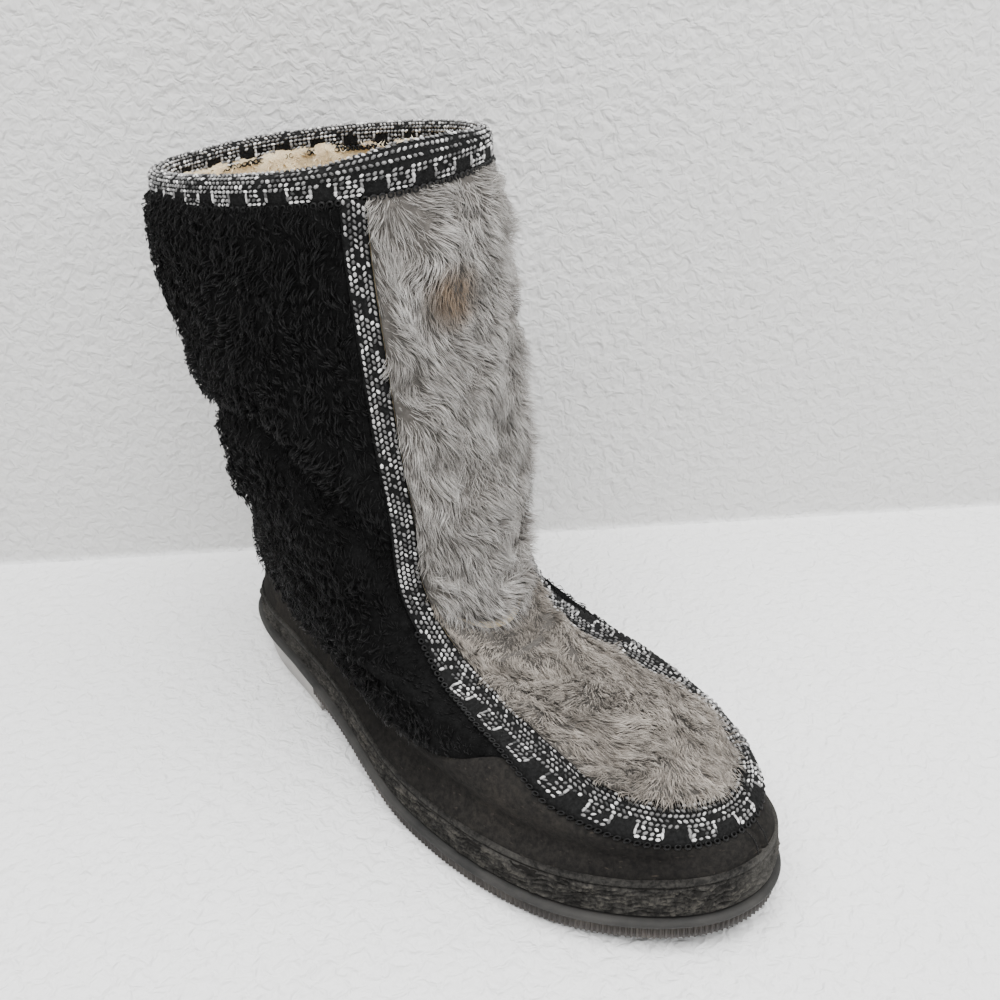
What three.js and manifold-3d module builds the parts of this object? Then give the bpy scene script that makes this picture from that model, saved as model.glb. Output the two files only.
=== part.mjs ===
// A right mukluk boot: black pile shaft, grey fur flap and vamp, woven braid, rubber sole unit.
// Millimetres, +Z up. The toe points to -Y and the boot's outer side to -X.
import * as THREE from "three";
import Module from "manifold-3d";
import { mergeVertices } from "three/addons/utils/BufferGeometryUtils.js";

const wasm = await Module();
wasm.setup();

// Driving sizes of the sole unit.
const LENGTH = 262; // outsole from heel to toe
const BALL_WIDTH = 97; // outsole across the ball
const HEEL_HEIGHT = 17; // floor to the lip at the heel
const FOREFOOT_HEIGHT = 6; // floor to the lip under the ball
const TOE_SPRING = 7; // how far the lip rises again at the toe
const HEEL_LENGTH = 65; // heel block from its back to its breast
const HEEL_INSET = 4.5; // heel block inside the lip's edge
const TREAD_INSET = 1.4; // tread ribs inside the lip's edge
const RIB_DEPTH = 1.3; // how deep the slots between the tread's side ribs go
const RIBS = 44; // ribs round the tread's side
const LUG_GROOVE = 1.6; // depth of the cross grooves under tread and heel
const LUG_PITCH = 13; // from one cross groove to the next
const LIP = 3.2; // thickness of the rubber lip
const BAND_TOE = 17; // height of the rubber band at the toe
const BAND_HEEL = 9; // height of the rubber band at the heel
const BAND_STEP = 2.2; // band inside the lip's edge
const BAND_WALL = 3; // thickness of the band
const GROOVE = 1.2; // dark groove between lip and band

// Driving sizes of the upper.
const BOOT_HEIGHT = 235; // floor to the rim at the front
const BACK_HEIGHT = 210; // floor to the rim at the back
const COLLAR_DEPTH = 131; // rim from front to back
const COLLAR_WIDTH = 92; // rim from side to side
const WALL = 2.6; // shell of the upper, lining and backing together
const LEATHER = 1.4; // black leather foxing
const PILE = 5.5; // curly pile of the shaft
const BORDER_SHARE = 0.6; // thickness of pile and fur at their borders, as a share of the full one
const PILE_BUMP = 1.3; // how much the pile's surface rolls
const FUR_FLAP = 7; // body of the flap's fur under its locks
const FUR_VAMP = 7; // body of the vamp's fur under its locks
const LOCK_RISE = 2.6; // how far a lock's tip stands out of the fur
const LOCK_LENGTH = 16; // length of a lock of fur
const LOCK_WIDTH = 11; // width of a lock at its root
const BRAID = 2.4; // thickness of the woven braid
const BRAID_WIDTH = 13; // whole width of the braid, as it shows at the toe
const BRAID_SHOWN = 8; // what shows of it beside the flap
const COLLAR_FALL = 7; // braid below the rim outside
const COLLAR_TURN = 5; // braid below the rim inside
const COLLAR_BULGE = 4; // extra height of the rolled braid at the front
const BULGE_ROUND = 0.46; // where that bulge lies, as a share of the way round the rim
const SEAM_RISE = 0.9; // raised seam at the middle of the toe
const SEAM_WIDTH = 3; // width of that seam
const INSOLE = 3.5; // thickness of the insole
const GAP = 0.3; // clearance between pieces that meet
const BED = 0.9; // clearance under the braid and the fur pieces, which cross the shell's facets

// Half breadths of the outsole at stations spaced like a cosine, as shares of the ball width.
const OUTLINE = [
  { lateral: 0.02, medial: 0.3 },
  { lateral: 0.135, medial: 0.395 },
  { lateral: 0.217, medial: 0.408 },
  { lateral: 0.324, medial: 0.412 },
  { lateral: 0.444, medial: 0.433 },
  { lateral: 0.49, medial: 0.5 },
  { lateral: 0.45, medial: 0.495 },
  { lateral: 0.317, medial: 0.393 },
  { lateral: 0.142, medial: 0.249 },
];
const HEEL_MIDDLE = 0.145; // x of the outline's back end, as a share of the ball width
const TOE_MIDDLE = 0.062; // x of its front end

// Sections of the foot, from just above the band to the ankle. back and front are shares of the
// length, counted from the heel. backUp and frontUp are shares of the rise from sole to rim.
// lateral, medial, sag and inset are shares of the ball width.
const FOOT_ROWS = [
  { back: 0.032, backUp: 0.157, front: 0.954, frontUp: 0.107, lateral: 0.443, medial: 0.433,
    widest: 0.62, toeRound: 2.5, outline: 0.6, inset: 0.045, sag: 0, follow: 0.5 },
  { back: 0.042, backUp: 0.23, front: 0.889, frontUp: 0.148, lateral: 0.433, medial: 0.402,
    widest: 0.6, toeRound: 2.4, outline: 0.35, inset: 0.06, sag: 0, follow: 0.2 },
  { back: 0.068, backUp: 0.294, front: 0.752, frontUp: 0.175, lateral: 0.433, medial: 0.392,
    widest: 0.55, toeRound: 2.4, outline: 0.2, inset: 0.06, sag: 0.04, follow: 0 },
  { back: 0.098, backUp: 0.357, front: 0.599, frontUp: 0.215, lateral: 0.443, medial: 0.412,
    widest: 0.5, toeRound: 2.3, outline: 0.05, inset: 0.06, sag: 0.08, follow: 0 },
  { back: 0.148, backUp: 0.42, front: 0.515, frontUp: 0.323, lateral: 0.464, medial: 0.454,
    widest: 0.5, toeRound: 2.2, outline: 0, inset: 0.06, sag: 0.04, follow: 0 },
];
// Sections of the shaft. depth is a share of the collar depth, lateral and medial of its width.
const SHAFT_ROWS = [
  { front: 0.5, frontUp: 0.459, backUp: 0.483, depth: 0.76, lateral: 0.5, medial: 0.52 },
  { front: 0.485, frontUp: 0.603, backUp: 0.599, depth: 0.835, lateral: 0.5, medial: 0.54 },
  { front: 0.473, frontUp: 0.752, backUp: 0.726, depth: 0.925, lateral: 0.49, medial: 0.53 },
  { front: 0.463, frontUp: 0.883, backUp: 0.863, depth: 1, lateral: 0.48, medial: 0.505 },
  { front: 0.463, frontUp: 1, backUp: 1, depth: 1, lateral: 0.478, medial: 0.488 },
];
const BACK_ROUND = 2.2; // how square the back of a section is, 2 being an ellipse
const SHAFT_ROUND = 2.4; // the same for the front of the shaft
const SHAFT_BACK_MIDDLE = 0.09; // x of the shaft's back, as a share of the ball width
const SHAFT_FRONT_MIDDLE = 0.093; // x of the shaft's front

// Middle line of the front braid on the outer side, from rim to toe: the section that it crosses
// and its share of the way round from back to front and on to the back.
const BRAID_LINE = [
  { section: 11, round: 0.395 },
  { section: 9, round: 0.397 },
  { section: 7, round: 0.399 },
  { section: 6, round: 0.402 },
  { section: 5.3, round: 0.403 },
  { section: 4.7, round: 0.392 },
  { section: 4.1, round: 0.376 },
  { section: 3.5, round: 0.367 },
  { section: 3.0, round: 0.372 },
  { section: 2.7, round: 0.395 },
  { section: 2.5, round: 0.43 },
  { section: 2.38, round: 0.465 },
];
const BRAID_TOE_SECTION = 2.3; // where the braid crosses the middle of the toe
const BRAID_NARROWS = 5.6; // section above which only part of the braid shows
const LEATHER_TOP = 2.1; // section that the leather reaches along the side
const LEATHER_HEEL = 3.2; // section of its tip at the back of the heel
const HEEL_TIP_ROUND = 0.16; // share of the way round over which it falls from that tip
const LEATHER_MEETS = 3.2; // section where the leather's edge runs into the braid
const FLAP_END = 5.35; // section where the flap's rounded end lies

const mix = (a, b, t) => a + (b - a) * t;
const clamp = (t) => Math.min(1, Math.max(0, t));
const ease = (t) => clamp(t) ** 2 * (3 - 2 * clamp(t));

// Catmull-Rom blend of four numbers.
function blend4(a, b, c, d, t) {
  return 0.5 * (2 * b + (c - a) * t + (2 * a - 5 * b + 4 * c - d) * t * t + (3 * b - a - 3 * c + d) * t ** 3);
}

// Outline of the outsole, round = 0 at the heel, 0.5 at the toe, outer side first.
const outlinePoints = [[HEEL_MIDDLE * BALL_WIDTH, LENGTH / 2]];
const stationY = (i) => (LENGTH / 2) * Math.cos((Math.PI * i) / (OUTLINE.length + 1));
OUTLINE.forEach((row, i) => outlinePoints.push([-row.lateral * BALL_WIDTH, stationY(i + 1)]));
outlinePoints.push([TOE_MIDDLE * BALL_WIDTH, -LENGTH / 2]);
[...OUTLINE].reverse().forEach((row, i) =>
  outlinePoints.push([row.medial * BALL_WIDTH, stationY(OUTLINE.length - i)]),
);

function outlineAt(round, inset = 0) {
  const n = outlinePoints.length;
  const at = (r) => {
    const t = (((r % 1) + 1) % 1) * n;
    const i = Math.floor(t);
    const p = [-1, 0, 1, 2].map((k) => outlinePoints[(i + k + n) % n]);
    return [0, 1].map((c) => blend4(p[0][c], p[1][c], p[2][c], p[3][c], t - i));
  };
  const [x, y] = at(round);
  const [x0, y0] = at(round - 0.004);
  const [x1, y1] = at(round + 0.004);
  const long = Math.hypot(x1 - x0, y1 - y0);
  return [x - (inset * (y0 - y1)) / -long, y - (inset * (x1 - x0)) / -long];
}

// Height of the lip's underside at a place along the boot.
function lipBottom(y) {
  const ahead = 0.5 - y / LENGTH;
  const toe = clamp((ahead - 0.62) / 0.38) ** 2;
  return mix(HEEL_HEIGHT, FOREFOOT_HEIGHT, ease((ahead - 0.28) / 0.27)) + TOE_SPRING * toe;
}
const soleTop = (y) => lipBottom(y) + LIP;
const bandTop = (y) => soleTop(y) + mix(BAND_HEEL, BAND_TOE, 0.5 - y / LENGTH);

// Sections of the upper, all as one list of plain numbers in millimetres.
const UPPER_INSET = BAND_STEP + BAND_WALL + GAP;
const backRise = BACK_HEIGHT - soleTop(LENGTH / 2);
const frontRise = BOOT_HEIGHT - soleTop(-LENGTH / 2);
const aheadToY = (share) => LENGTH * (0.5 - share);

function bandRow(up) {
  const backY = outlineAt(0, UPPER_INSET)[1];
  const frontY = outlineAt(0.5, UPPER_INSET)[1];
  const rise = (y) => (up ? bandTop(y) - soleTop(y) : 0) + GAP;
  return { backY, backZ: soleTop(backY) + rise(backY), frontY, frontZ: soleTop(frontY) + rise(frontY),
    lateral: 0, medial: 0, backX: HEEL_MIDDLE * BALL_WIDTH, frontX: TOE_MIDDLE * BALL_WIDTH,
    widest: 0.6, toeRound: 2.5, outline: 1, inset: UPPER_INSET, sag: 0, follow: 1 };
}
const footRow = (r) => ({
  backY: aheadToY(r.back), backZ: soleTop(LENGTH / 2) + r.backUp * backRise,
  frontY: aheadToY(r.front), frontZ: soleTop(-LENGTH / 2) + r.frontUp * frontRise,
  lateral: r.lateral * BALL_WIDTH, medial: r.medial * BALL_WIDTH,
  backX: HEEL_MIDDLE * BALL_WIDTH, frontX: TOE_MIDDLE * BALL_WIDTH,
  widest: r.widest, toeRound: r.toeRound, outline: r.outline, inset: r.inset * BALL_WIDTH,
  sag: r.sag * BALL_WIDTH, follow: r.follow,
});
const shaftRow = (r) => ({
  backY: aheadToY(r.front) + r.depth * COLLAR_DEPTH, backZ: soleTop(LENGTH / 2) + r.backUp * backRise,
  frontY: aheadToY(r.front), frontZ: soleTop(-LENGTH / 2) + r.frontUp * frontRise,
  lateral: r.lateral * COLLAR_WIDTH, medial: r.medial * COLLAR_WIDTH,
  backX: SHAFT_BACK_MIDDLE * BALL_WIDTH, frontX: SHAFT_FRONT_MIDDLE * BALL_WIDTH,
  widest: 0.5, toeRound: SHAFT_ROUND, outline: 0, inset: UPPER_INSET, sag: 0, follow: 0,
});
const SECTIONS = [bandRow(false), bandRow(true), ...FOOT_ROWS.map(footRow), ...SHAFT_ROWS.map(shaftRow)];
const RIM = SECTIONS.length - 1;

function sectionAt(u) {
  const i = Math.min(RIM - 1, Math.max(0, Math.floor(u)));
  const p = [i - 1, i, i + 1, i + 2].map((k) => SECTIONS[Math.min(RIM, Math.max(0, k))]);
  const row = {};
  for (const key of Object.keys(p[0])) row[key] = blend4(p[0][key], p[1][key], p[2][key], p[3][key], u - i);
  return row;
}

// A point of the upper's outer face: section u, and the share of the way round from the back.
function onUpper(u, way) {
  const r = sectionAt(u);
  const v = ((way % 1) + 1) % 1;
  const side = v < 0.5 ? -1 : 1;
  const half = v < 0.5 ? 2 * v : 2 * (1 - v);
  const turn = Math.PI * Math.min(half, 1 - half);
  const power = 2 / (half < 0.5 ? BACK_ROUND : r.toeRound);
  const along = 1 - Math.max(0, Math.cos(turn)) ** power;
  const breadth = Math.max(0, Math.sin(turn)) ** power;
  const share = half < 0.5 ? r.widest * along : 1 - (1 - r.widest) * along;
  const [edgeX, edgeY] = outlineAt(v, r.inset);
  const backY = outlineAt(0, r.inset)[1];
  const frontY = outlineAt(0.5, r.inset)[1];
  const edgeShare = (backY - edgeY) / (backY - frontY);
  const t = mix(share, edgeShare, r.outline);
  const roundX = mix(r.backX, r.frontX, share) + side * breadth * (side < 0 ? r.lateral : r.medial);
  const y = mix(r.backY, r.frontY, t);
  const dip = r.sag * Math.sin(Math.PI * clamp(t));
  const curve = soleTop(y) - mix(soleTop(r.backY), soleTop(r.frontY), t);
  const z = mix(r.backZ, r.frontZ, t) - dip + r.follow * curve;
  return new THREE.Vector3(mix(roundX, edgeX, r.outline), y, z);
}

// Directions at a point: out of the upper, up its face and round it. The wall stands upright
// at its bottom edge, so that its thickness lies level on the sole.
function frameAt(u, v) {
  const step = 0.02;
  const low = Math.max(0, u - step);
  const high = Math.min(RIM, u + step);
  const up = onUpper(high, v).sub(onUpper(low, v)).divideScalar(high - low);
  const round = onUpper(u, v + step / 4).sub(onUpper(u, v - step / 4)).divideScalar(step / 2);
  const out = new THREE.Vector3().crossVectors(round, up).normalize();
  out.setZ(out.z * ease(u)).normalize();
  return { out, up, round };
}
const offUpper = (u, v, out) => onUpper(u, v).addScaledVector(frameAt(u, v).out, out);

// Moves a place on the upper by millimetres along a direction that lies in its face.
function slide(u, v, direction, distance) {
  const { up, round } = frameAt(u, v);
  const [uu, uv, vv] = [up.dot(up), up.dot(round), round.dot(round)];
  const [du, dv] = [direction.dot(up), direction.dot(round)];
  const det = uu * vv - uv * uv;
  return [u + (distance * (du * vv - dv * uv)) / det, v + (distance * (dv * uu - du * uv)) / det];
}

// The section at which the upper's face, v of the way round, has come this far below the rim.
function belowRim(v, drop) {
  let u = RIM;
  const height = onUpper(RIM, v).z - drop;
  for (let i = 0; i < 30; i += 1) u = Math.min(RIM, u + (height - onUpper(u, v).z) / 30);
  return u;
}

// The braid's middle line, t = 0 at the rim outside, 0.5 at the toe, 1 at the rim inside.
const braidLine = [
  ...BRAID_LINE.map((p) => [p.section, p.round]),
  [BRAID_TOE_SECTION, 0.5],
  ...[...BRAID_LINE].reverse().map((p) => [p.section, 1 - p.round]),
];
function braidAt(t) {
  const n = braidLine.length - 1;
  const s = clamp(t) * n;
  const i = Math.min(n - 1, Math.floor(s));
  const p = [i - 1, i, i + 1, i + 2].map((k) => braidLine[Math.min(n, Math.max(0, k))]);
  return [0, 1].map((c) => blend4(p[0][c], p[1][c], p[2][c], p[3][c], s - i));
}
const braidTop = belowRim(BRAID_LINE[0].round, COLLAR_FALL + 3 * GAP);
let BRAID_START = 0;
while (braidAt(BRAID_START)[0] > braidTop) BRAID_START += 0.0005;

// A place beside the braid's middle line. aside is in millimetres, positive towards the flap.
function besideBraid(t, aside) {
  const [u, v] = braidAt(t);
  const before = onUpper(...braidAt(t - 0.003));
  const along = onUpper(...braidAt(t + 0.003)).sub(before).normalize();
  const across = new THREE.Vector3().crossVectors(frameAt(u, v).out, along).normalize();
  return slide(u, v, across, aside);
}
const braidHalf = (t) =>
  mix(BRAID_WIDTH, BRAID_SHOWN, ease((braidAt(t)[0] - BRAID_NARROWS + 1.2) / 1.2)) / 2;
const innerEdge = (t, gap = GAP) => besideBraid(t, braidHalf(t) + gap);
const outerEdge = (t, gap = GAP) => besideBraid(t, -braidHalf(t) - gap);

// Solids.
function solidMesh(name, points, faces, colour, roughness) {
  const geometry = new THREE.BufferGeometry();
  geometry.setAttribute("position", new THREE.Float32BufferAttribute(points.flatMap((p) => p.toArray()), 3));
  let volume = 0;
  for (const [a, b, c] of faces) {
    volume += points[a].dot(new THREE.Vector3().crossVectors(points[b], points[c]));
  }
  geometry.setIndex(faces.flatMap(([a, b, c]) => (volume > 0 ? [a, b, c] : [a, c, b])));
  const mesh = new THREE.Mesh(geometry, new THREE.MeshStandardMaterial({ color: colour, roughness }));
  mesh.name = name;
  return mesh;
}

// Faces of a block of points: layers of rings that close on themselves (ring), or of open rows.
function gridFaces(across, along, at, closed) {
  const faces = [];
  for (let j = 0; j < along - 1; j += 1) {
    for (let i = 0; i < (closed ? across : across - 1); i += 1) {
      const k = (i + 1) % across;
      faces.push([at(i, j), at(k, j), at(k, j + 1)], [at(i, j), at(k, j + 1), at(i, j + 1)]);
    }
  }
  return faces;
}

// A slab between an outer and an inner face, both given as point(i, j) on the same grid.
function slab(name, outer, inner, across, along, closed, colour, roughness) {
  const points = [];
  for (const face of [outer, inner]) {
    for (let j = 0; j < along; j += 1) for (let i = 0; i < across; i += 1) points.push(face(i, j));
  }
  const half = across * along;
  const top = (i, j) => j * across + i;
  const low = (i, j) => half + j * across + i;
  const faces = gridFaces(across, along, top, closed);
  for (const [a, b, c] of gridFaces(across, along, low, closed)) faces.push([a, c, b]);
  for (const j of [0, along - 1]) {
    for (let i = 0; i < (closed ? across : across - 1); i += 1) {
      const k = (i + 1) % across;
      const wall = [[top(i, j), low(i, j), low(k, j)], [top(i, j), low(k, j), top(k, j)]];
      for (const [a, b, c] of wall) faces.push(j === 0 ? [a, b, c] : [a, c, b]);
    }
  }
  for (const i of closed ? [] : [0, across - 1]) {
    for (let j = 0; j < along - 1; j += 1) {
      const wall = [[top(i, j), top(i, j + 1), low(i, j + 1)], [top(i, j), low(i, j + 1), low(i, j)]];
      for (const [a, b, c] of wall) faces.push(i === 0 ? [a, b, c] : [a, c, b]);
    }
  }
  return solidMesh(name, points, faces, colour, roughness);
}

// A ring whose section is a closed outline of points, carried round the boot.
function ring(name, rings, colour, roughness) {
  const across = rings[0].length;
  const points = rings.flat();
  const faces = [];
  for (let j = 0; j < rings.length; j += 1) {
    const next = (j + 1) % rings.length;
    for (let i = 0; i < across; i += 1) {
      const k = (i + 1) % across;
      const [a, b, c, d] = [j * across + i, j * across + k, next * across + k, next * across + i];
      faces.push([a, b, c], [a, c, d]);
    }
  }
  return solidMesh(name, points, faces, colour, roughness);
}

// A plate of the sole: edges from bottom to top, each a loop of points, closed by strips across.
function plate(name, loops, colour, roughness) {
  const n = loops[0].length;
  const points = loops.flat();
  const faces = gridFaces(n, loops.length, (i, j) => j * n + i, true);
  for (const [first, flip] of [[0, false], [(loops.length - 1) * n, true]]) {
    for (let i = 0; i < n / 2; i += 1) {
      const [a, b, c, d] = [i, i + 1, n - i - 1, (n - i) % n].map((k) => first + k);
      const strip = i === 0 ? [[a, b, c]] : i === n / 2 - 1 ? [[a, b, d]] : [[a, b, c], [a, c, d]];
      for (const [p, q, r] of strip) faces.push(flip ? [p, q, r] : [p, r, q]);
    }
  }
  return solidMesh(name, points, faces, colour, roughness);
}

function toManifold(mesh) {
  const bare = new THREE.BufferGeometry();
  bare.setAttribute("position", mesh.geometry.getAttribute("position"));
  if (mesh.geometry.index) bare.setIndex(mesh.geometry.index);
  const merged = mergeVertices(bare, 1e-3);
  return new wasm.Manifold(
    new wasm.Mesh({
      numProp: 3,
      vertProperties: new Float32Array(merged.getAttribute("position").array),
      triVerts: new Uint32Array(merged.index.array),
    }),
  );
}
function fromManifold(mesh, solid) {
  const { vertProperties, triVerts } = solid.getMesh();
  const geometry = new THREE.BufferGeometry();
  geometry.setAttribute("position", new THREE.BufferAttribute(new Float32Array(vertProperties), 3));
  geometry.setIndex(new THREE.BufferAttribute(new Uint32Array(triVerts), 1));
  mesh.geometry = geometry;
  return mesh;
}
function cutBoxes(mesh, boxes) {
  let solid = toManifold(mesh);
  for (const { size, at } of boxes) {
    const box = new THREE.Mesh(new THREE.BoxGeometry(...size).translate(...at));
    solid = solid.subtract(toManifold(box));
  }
  return fromManifold(mesh, solid);
}

const boot = new THREE.Group();
const ROUND_STEPS = 40; // points round each loop of sole and upper

// A loop of the sole at an inset, with its height from a function of y.
function soleLoop(inset, height) {
  return Array.from({ length: ROUND_STEPS }, (_, i) => {
    const [x, y] = outlineAt(i / ROUND_STEPS, inset);
    return new THREE.Vector3(x, y, height(y));
  });
}

// Sole lip: the plate that closes the upper underneath and stands proud all round.
function soleLip() {
  const edge = LIP / 4;
  return plate("sole_lip", [
    soleLoop(edge, lipBottom),
    soleLoop(0, (y) => lipBottom(y) + edge),
    soleLoop(0, (y) => soleTop(y) - edge),
    soleLoop(edge, soleTop),
  ], 0x3a3a38, 0.6);
}

// Rubber band round the bottom of the upper, a ring with a groove below and a smooth top strip.
function foxingBand() {
  const bottom = (y) => soleTop(y) + GAP;
  const share = (part) => (y) => mix(bottom(y), bandTop(y), part);
  const step = BAND_WALL / 4;
  const loops = [
    soleLoop(BAND_STEP + BAND_WALL, bottom),
    soleLoop(BAND_STEP + 2 * step, bottom),
    soleLoop(BAND_STEP + 2 * step, (y) => bottom(y) + GROOVE),
    soleLoop(BAND_STEP - step, (y) => bottom(y) + GROOVE),
    soleLoop(BAND_STEP, share(0.78)),
    soleLoop(BAND_STEP + step, share(0.8)),
    soleLoop(BAND_STEP + step, bandTop),
    soleLoop(BAND_STEP + BAND_WALL, bandTop),
  ];
  const rings = loops[0].map((_, i) => loops.map((loop) => loop[i]));
  return ring("foxing_band", rings, 0x3c3a37, 0.75);
}

// Trims a piece of the sole to the underside of the lip, with the usual clearance.
function belowLip(mesh) {
  const lip = soleLip();
  lip.geometry.translate(0, 0, -GAP);
  return fromManifold(mesh, toManifold(mesh).subtract(toManifold(lip)));
}

// Bottom of the tread: on the floor under the ball, lifted at the waist and by the toe spring.
const treadBottom = (y) => {
  const ahead = 0.5 - y / LENGTH;
  const toe = TOE_SPRING * clamp((ahead - 0.62) / 0.38) ** 2;
  return Math.max(toe, lipBottom(y) - FOREFOOT_HEIGHT);
};

// Cross grooves under a piece of the sole, between two places along the boot, in its underside.
function grooves(fromY, toY, floor) {
  const count = Math.floor((toY - fromY) / LUG_PITCH);
  return Array.from({ length: count }, (_, i) => {
    const y = fromY + (i + 0.5) * LUG_PITCH;
    return { size: [2 * BALL_WIDTH, LUG_PITCH / 4, 2 * LUG_GROOVE], at: [0, y, floor(y)] };
  });
}

const BREAST_Y = LENGTH / 2 - HEEL_LENGTH;
const TREAD_GROOVED = [-0.42 * LENGTH, 0.02 * LENGTH]; // where the cross grooves lie under the tread
const HEEL_GROOVED = BREAST_Y + 0.75 * HEEL_LENGTH; // how far back they go under the heel
const TREAD_STEPS = 2 * RIBS;

// Tread under forefoot and waist, up to the breast of the heel, with ribs round its side.
function outsoleForefoot() {
  const loop = (inset, height) =>
    Array.from({ length: TREAD_STEPS }, (_, i) => {
      const deep = i % 2 ? RIB_DEPTH : 0;
      const [x, y] = outlineAt((i + 0.5) / TREAD_STEPS, inset + deep);
      return new THREE.Vector3(x, y, height(y));
    });
  const n = TREAD_STEPS;
  const low = loop(TREAD_INSET, treadBottom);
  const high = loop(TREAD_INSET, (y) => lipBottom(y) - GAP);
  const points = [...low, ...high];
  const faces = gridFaces(n, 2, (i, j) => j * n + i, true);
  for (let i = 0; i < n / 2 - 1; i += 1) {
    const [a, b, c, d] = [i, i + 1, n - i - 2, n - i - 1];
    faces.push([a, c, b], [a, d, c], [n + a, n + b, n + c], [n + a, n + c, n + d]);
  }
  const mesh = solidMesh("outsole_forefoot", points, faces, 0x73645c, 0.45);
  const heelCut = { size: [2 * BALL_WIDTH, LENGTH, LENGTH], at: [0, BREAST_Y - GAP + LENGTH / 2, 0] };
  return belowLip(cutBoxes(mesh, [heelCut, ...grooves(...TREAD_GROOVED, treadBottom)]));
}

// Heel block under the back of the lip, with an upright breast.
function heelBlock() {
  const mesh = plate("heel_block", [
    soleLoop(HEEL_INSET + LUG_GROOVE, () => 0),
    soleLoop(HEEL_INSET, () => HEEL_HEIGHT / 4),
    soleLoop(HEEL_INSET, (y) => lipBottom(y) - GAP),
  ], 0x8a847e, 0.4);
  const frontCut = { size: [2 * BALL_WIDTH, LENGTH, LENGTH], at: [0, BREAST_Y + GAP - LENGTH / 2, 0] };
  return belowLip(cutBoxes(mesh, [frontCut, ...grooves(BREAST_Y + LUG_PITCH / 2, HEEL_GROOVED, () => 0)]));
}

// Insole on the lip, inside the upper's shell.
function insole() {
  const inset = UPPER_INSET + WALL + GAP;
  return plate("insole", [
    soleLoop(inset, (y) => soleTop(y) + GAP),
    soleLoop(inset, (y) => soleTop(y) + GAP + INSOLE),
  ], 0xd8c9a8, 0.95);
}

// Upper: one hollow shell, open at the rim and underneath.
const UPPER_ROWS = [0, 1, 1.5, 2, 2.5, 3, 3.5, 4, 4.5, 5, 5.5, 6, 6.5, 7, 8, 9, 10, 10.7, RIM];
function upper() {
  const face = (out) => (i, j) => offUpper(UPPER_ROWS[j], i / ROUND_STEPS, out);
  return slab("upper", face(0), face(-WALL), ROUND_STEPS, UPPER_ROWS.length, true, 0x1c1b1a, 0.95);
}

// Where an edge of the braid, down from the rim on one side, passes a test of its place.
function downBraid(side, stop, edge) {
  let [low, high] = [BRAID_START, 0.5];
  for (let i = 0; i < 24; i += 1) {
    const middle = (low + high) / 2;
    const [u, v] = edge(side < 0 ? middle : 1 - middle);
    if (stop(u, side < 0 ? v : 1 - v)) high = middle;
    else low = middle;
  }
  const [u, v] = edge(side < 0 ? low : 1 - low);
  return [u, side < 0 ? v : 1 - v];
}
const wideEdge = (t) => outerEdge(t, 3 * GAP);
const edgeRoundAt = (side, section) => downBraid(side, (u) => u < section, wideEdge)[1];

// The leather's upper edge: along the side, up into the braid, round the toe under the braid.
function leatherTop(v) {
  const side = v < 0.5 ? -1 : 1;
  const round = side < 0 ? v : 1 - v;
  const join = edgeRoundAt(side, LEATHER_MEETS);
  if (round < HEEL_TIP_ROUND) return mix(LEATHER_HEEL, LEATHER_TOP, (round / HEEL_TIP_ROUND) ** 0.8);
  if (round < join) return mix(LEATHER_TOP, LEATHER_MEETS, ease((round - join + 0.09) / 0.09));
  return downBraid(side, (u, w) => u < LEATHER_MEETS && w > round, wideEdge)[0];
}
function leatherFoxing() {
  const seam = SEAM_WIDTH / 2 / BALL_WIDTH / 2.2;
  const stops = Array.from({ length: ROUND_STEPS }, (_, i) => i / ROUND_STEPS);
  stops.push(0.5 - 2 * seam, 0.5 - seam, 0.5 + seam, 0.5 + 2 * seam);
  const joins = [edgeRoundAt(-1, LEATHER_MEETS), 1 - edgeRoundAt(1, LEATHER_MEETS)];
  stops.push(...joins.flatMap((v) => [v - 0.006, v + 0.006]));
  stops.sort((a, b) => a - b);
  const rise = (v) => (Math.abs(v - 0.5) <= 1.1 * seam ? SEAM_RISE : 0);
  const tops = stops.map(leatherTop);
  const face = (out, raised) => (i, j) => {
    const u = j === 5 ? tops[i] : Math.min(UPPER_ROWS[j + 1], tops[i] - 0.05 * (5 - j));
    return offUpper(u, stops[i], out + (raised ? rise(stops[i]) : 0));
  };
  const [outer, inner] = [face(GAP + LEATHER, true), face(GAP, false)];
  return slab("leather_foxing", outer, inner, stops.length, 6, true, 0x282624, 0.7);
}

// A patch of the upper between four edges, each a function that gives a section and a round share.
function patch(bottom, top, left, right) {
  return (a, b) =>
    [0, 1].map((c) => {
      const sides = mix(left(b)[c], right(b)[c], a) + mix(bottom(a)[c], top(a)[c], b);
      const corners = mix(mix(left(0)[c], right(0)[c], a), mix(left(1)[c], right(1)[c], a), b);
      return sides - corners;
    });
}

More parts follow.
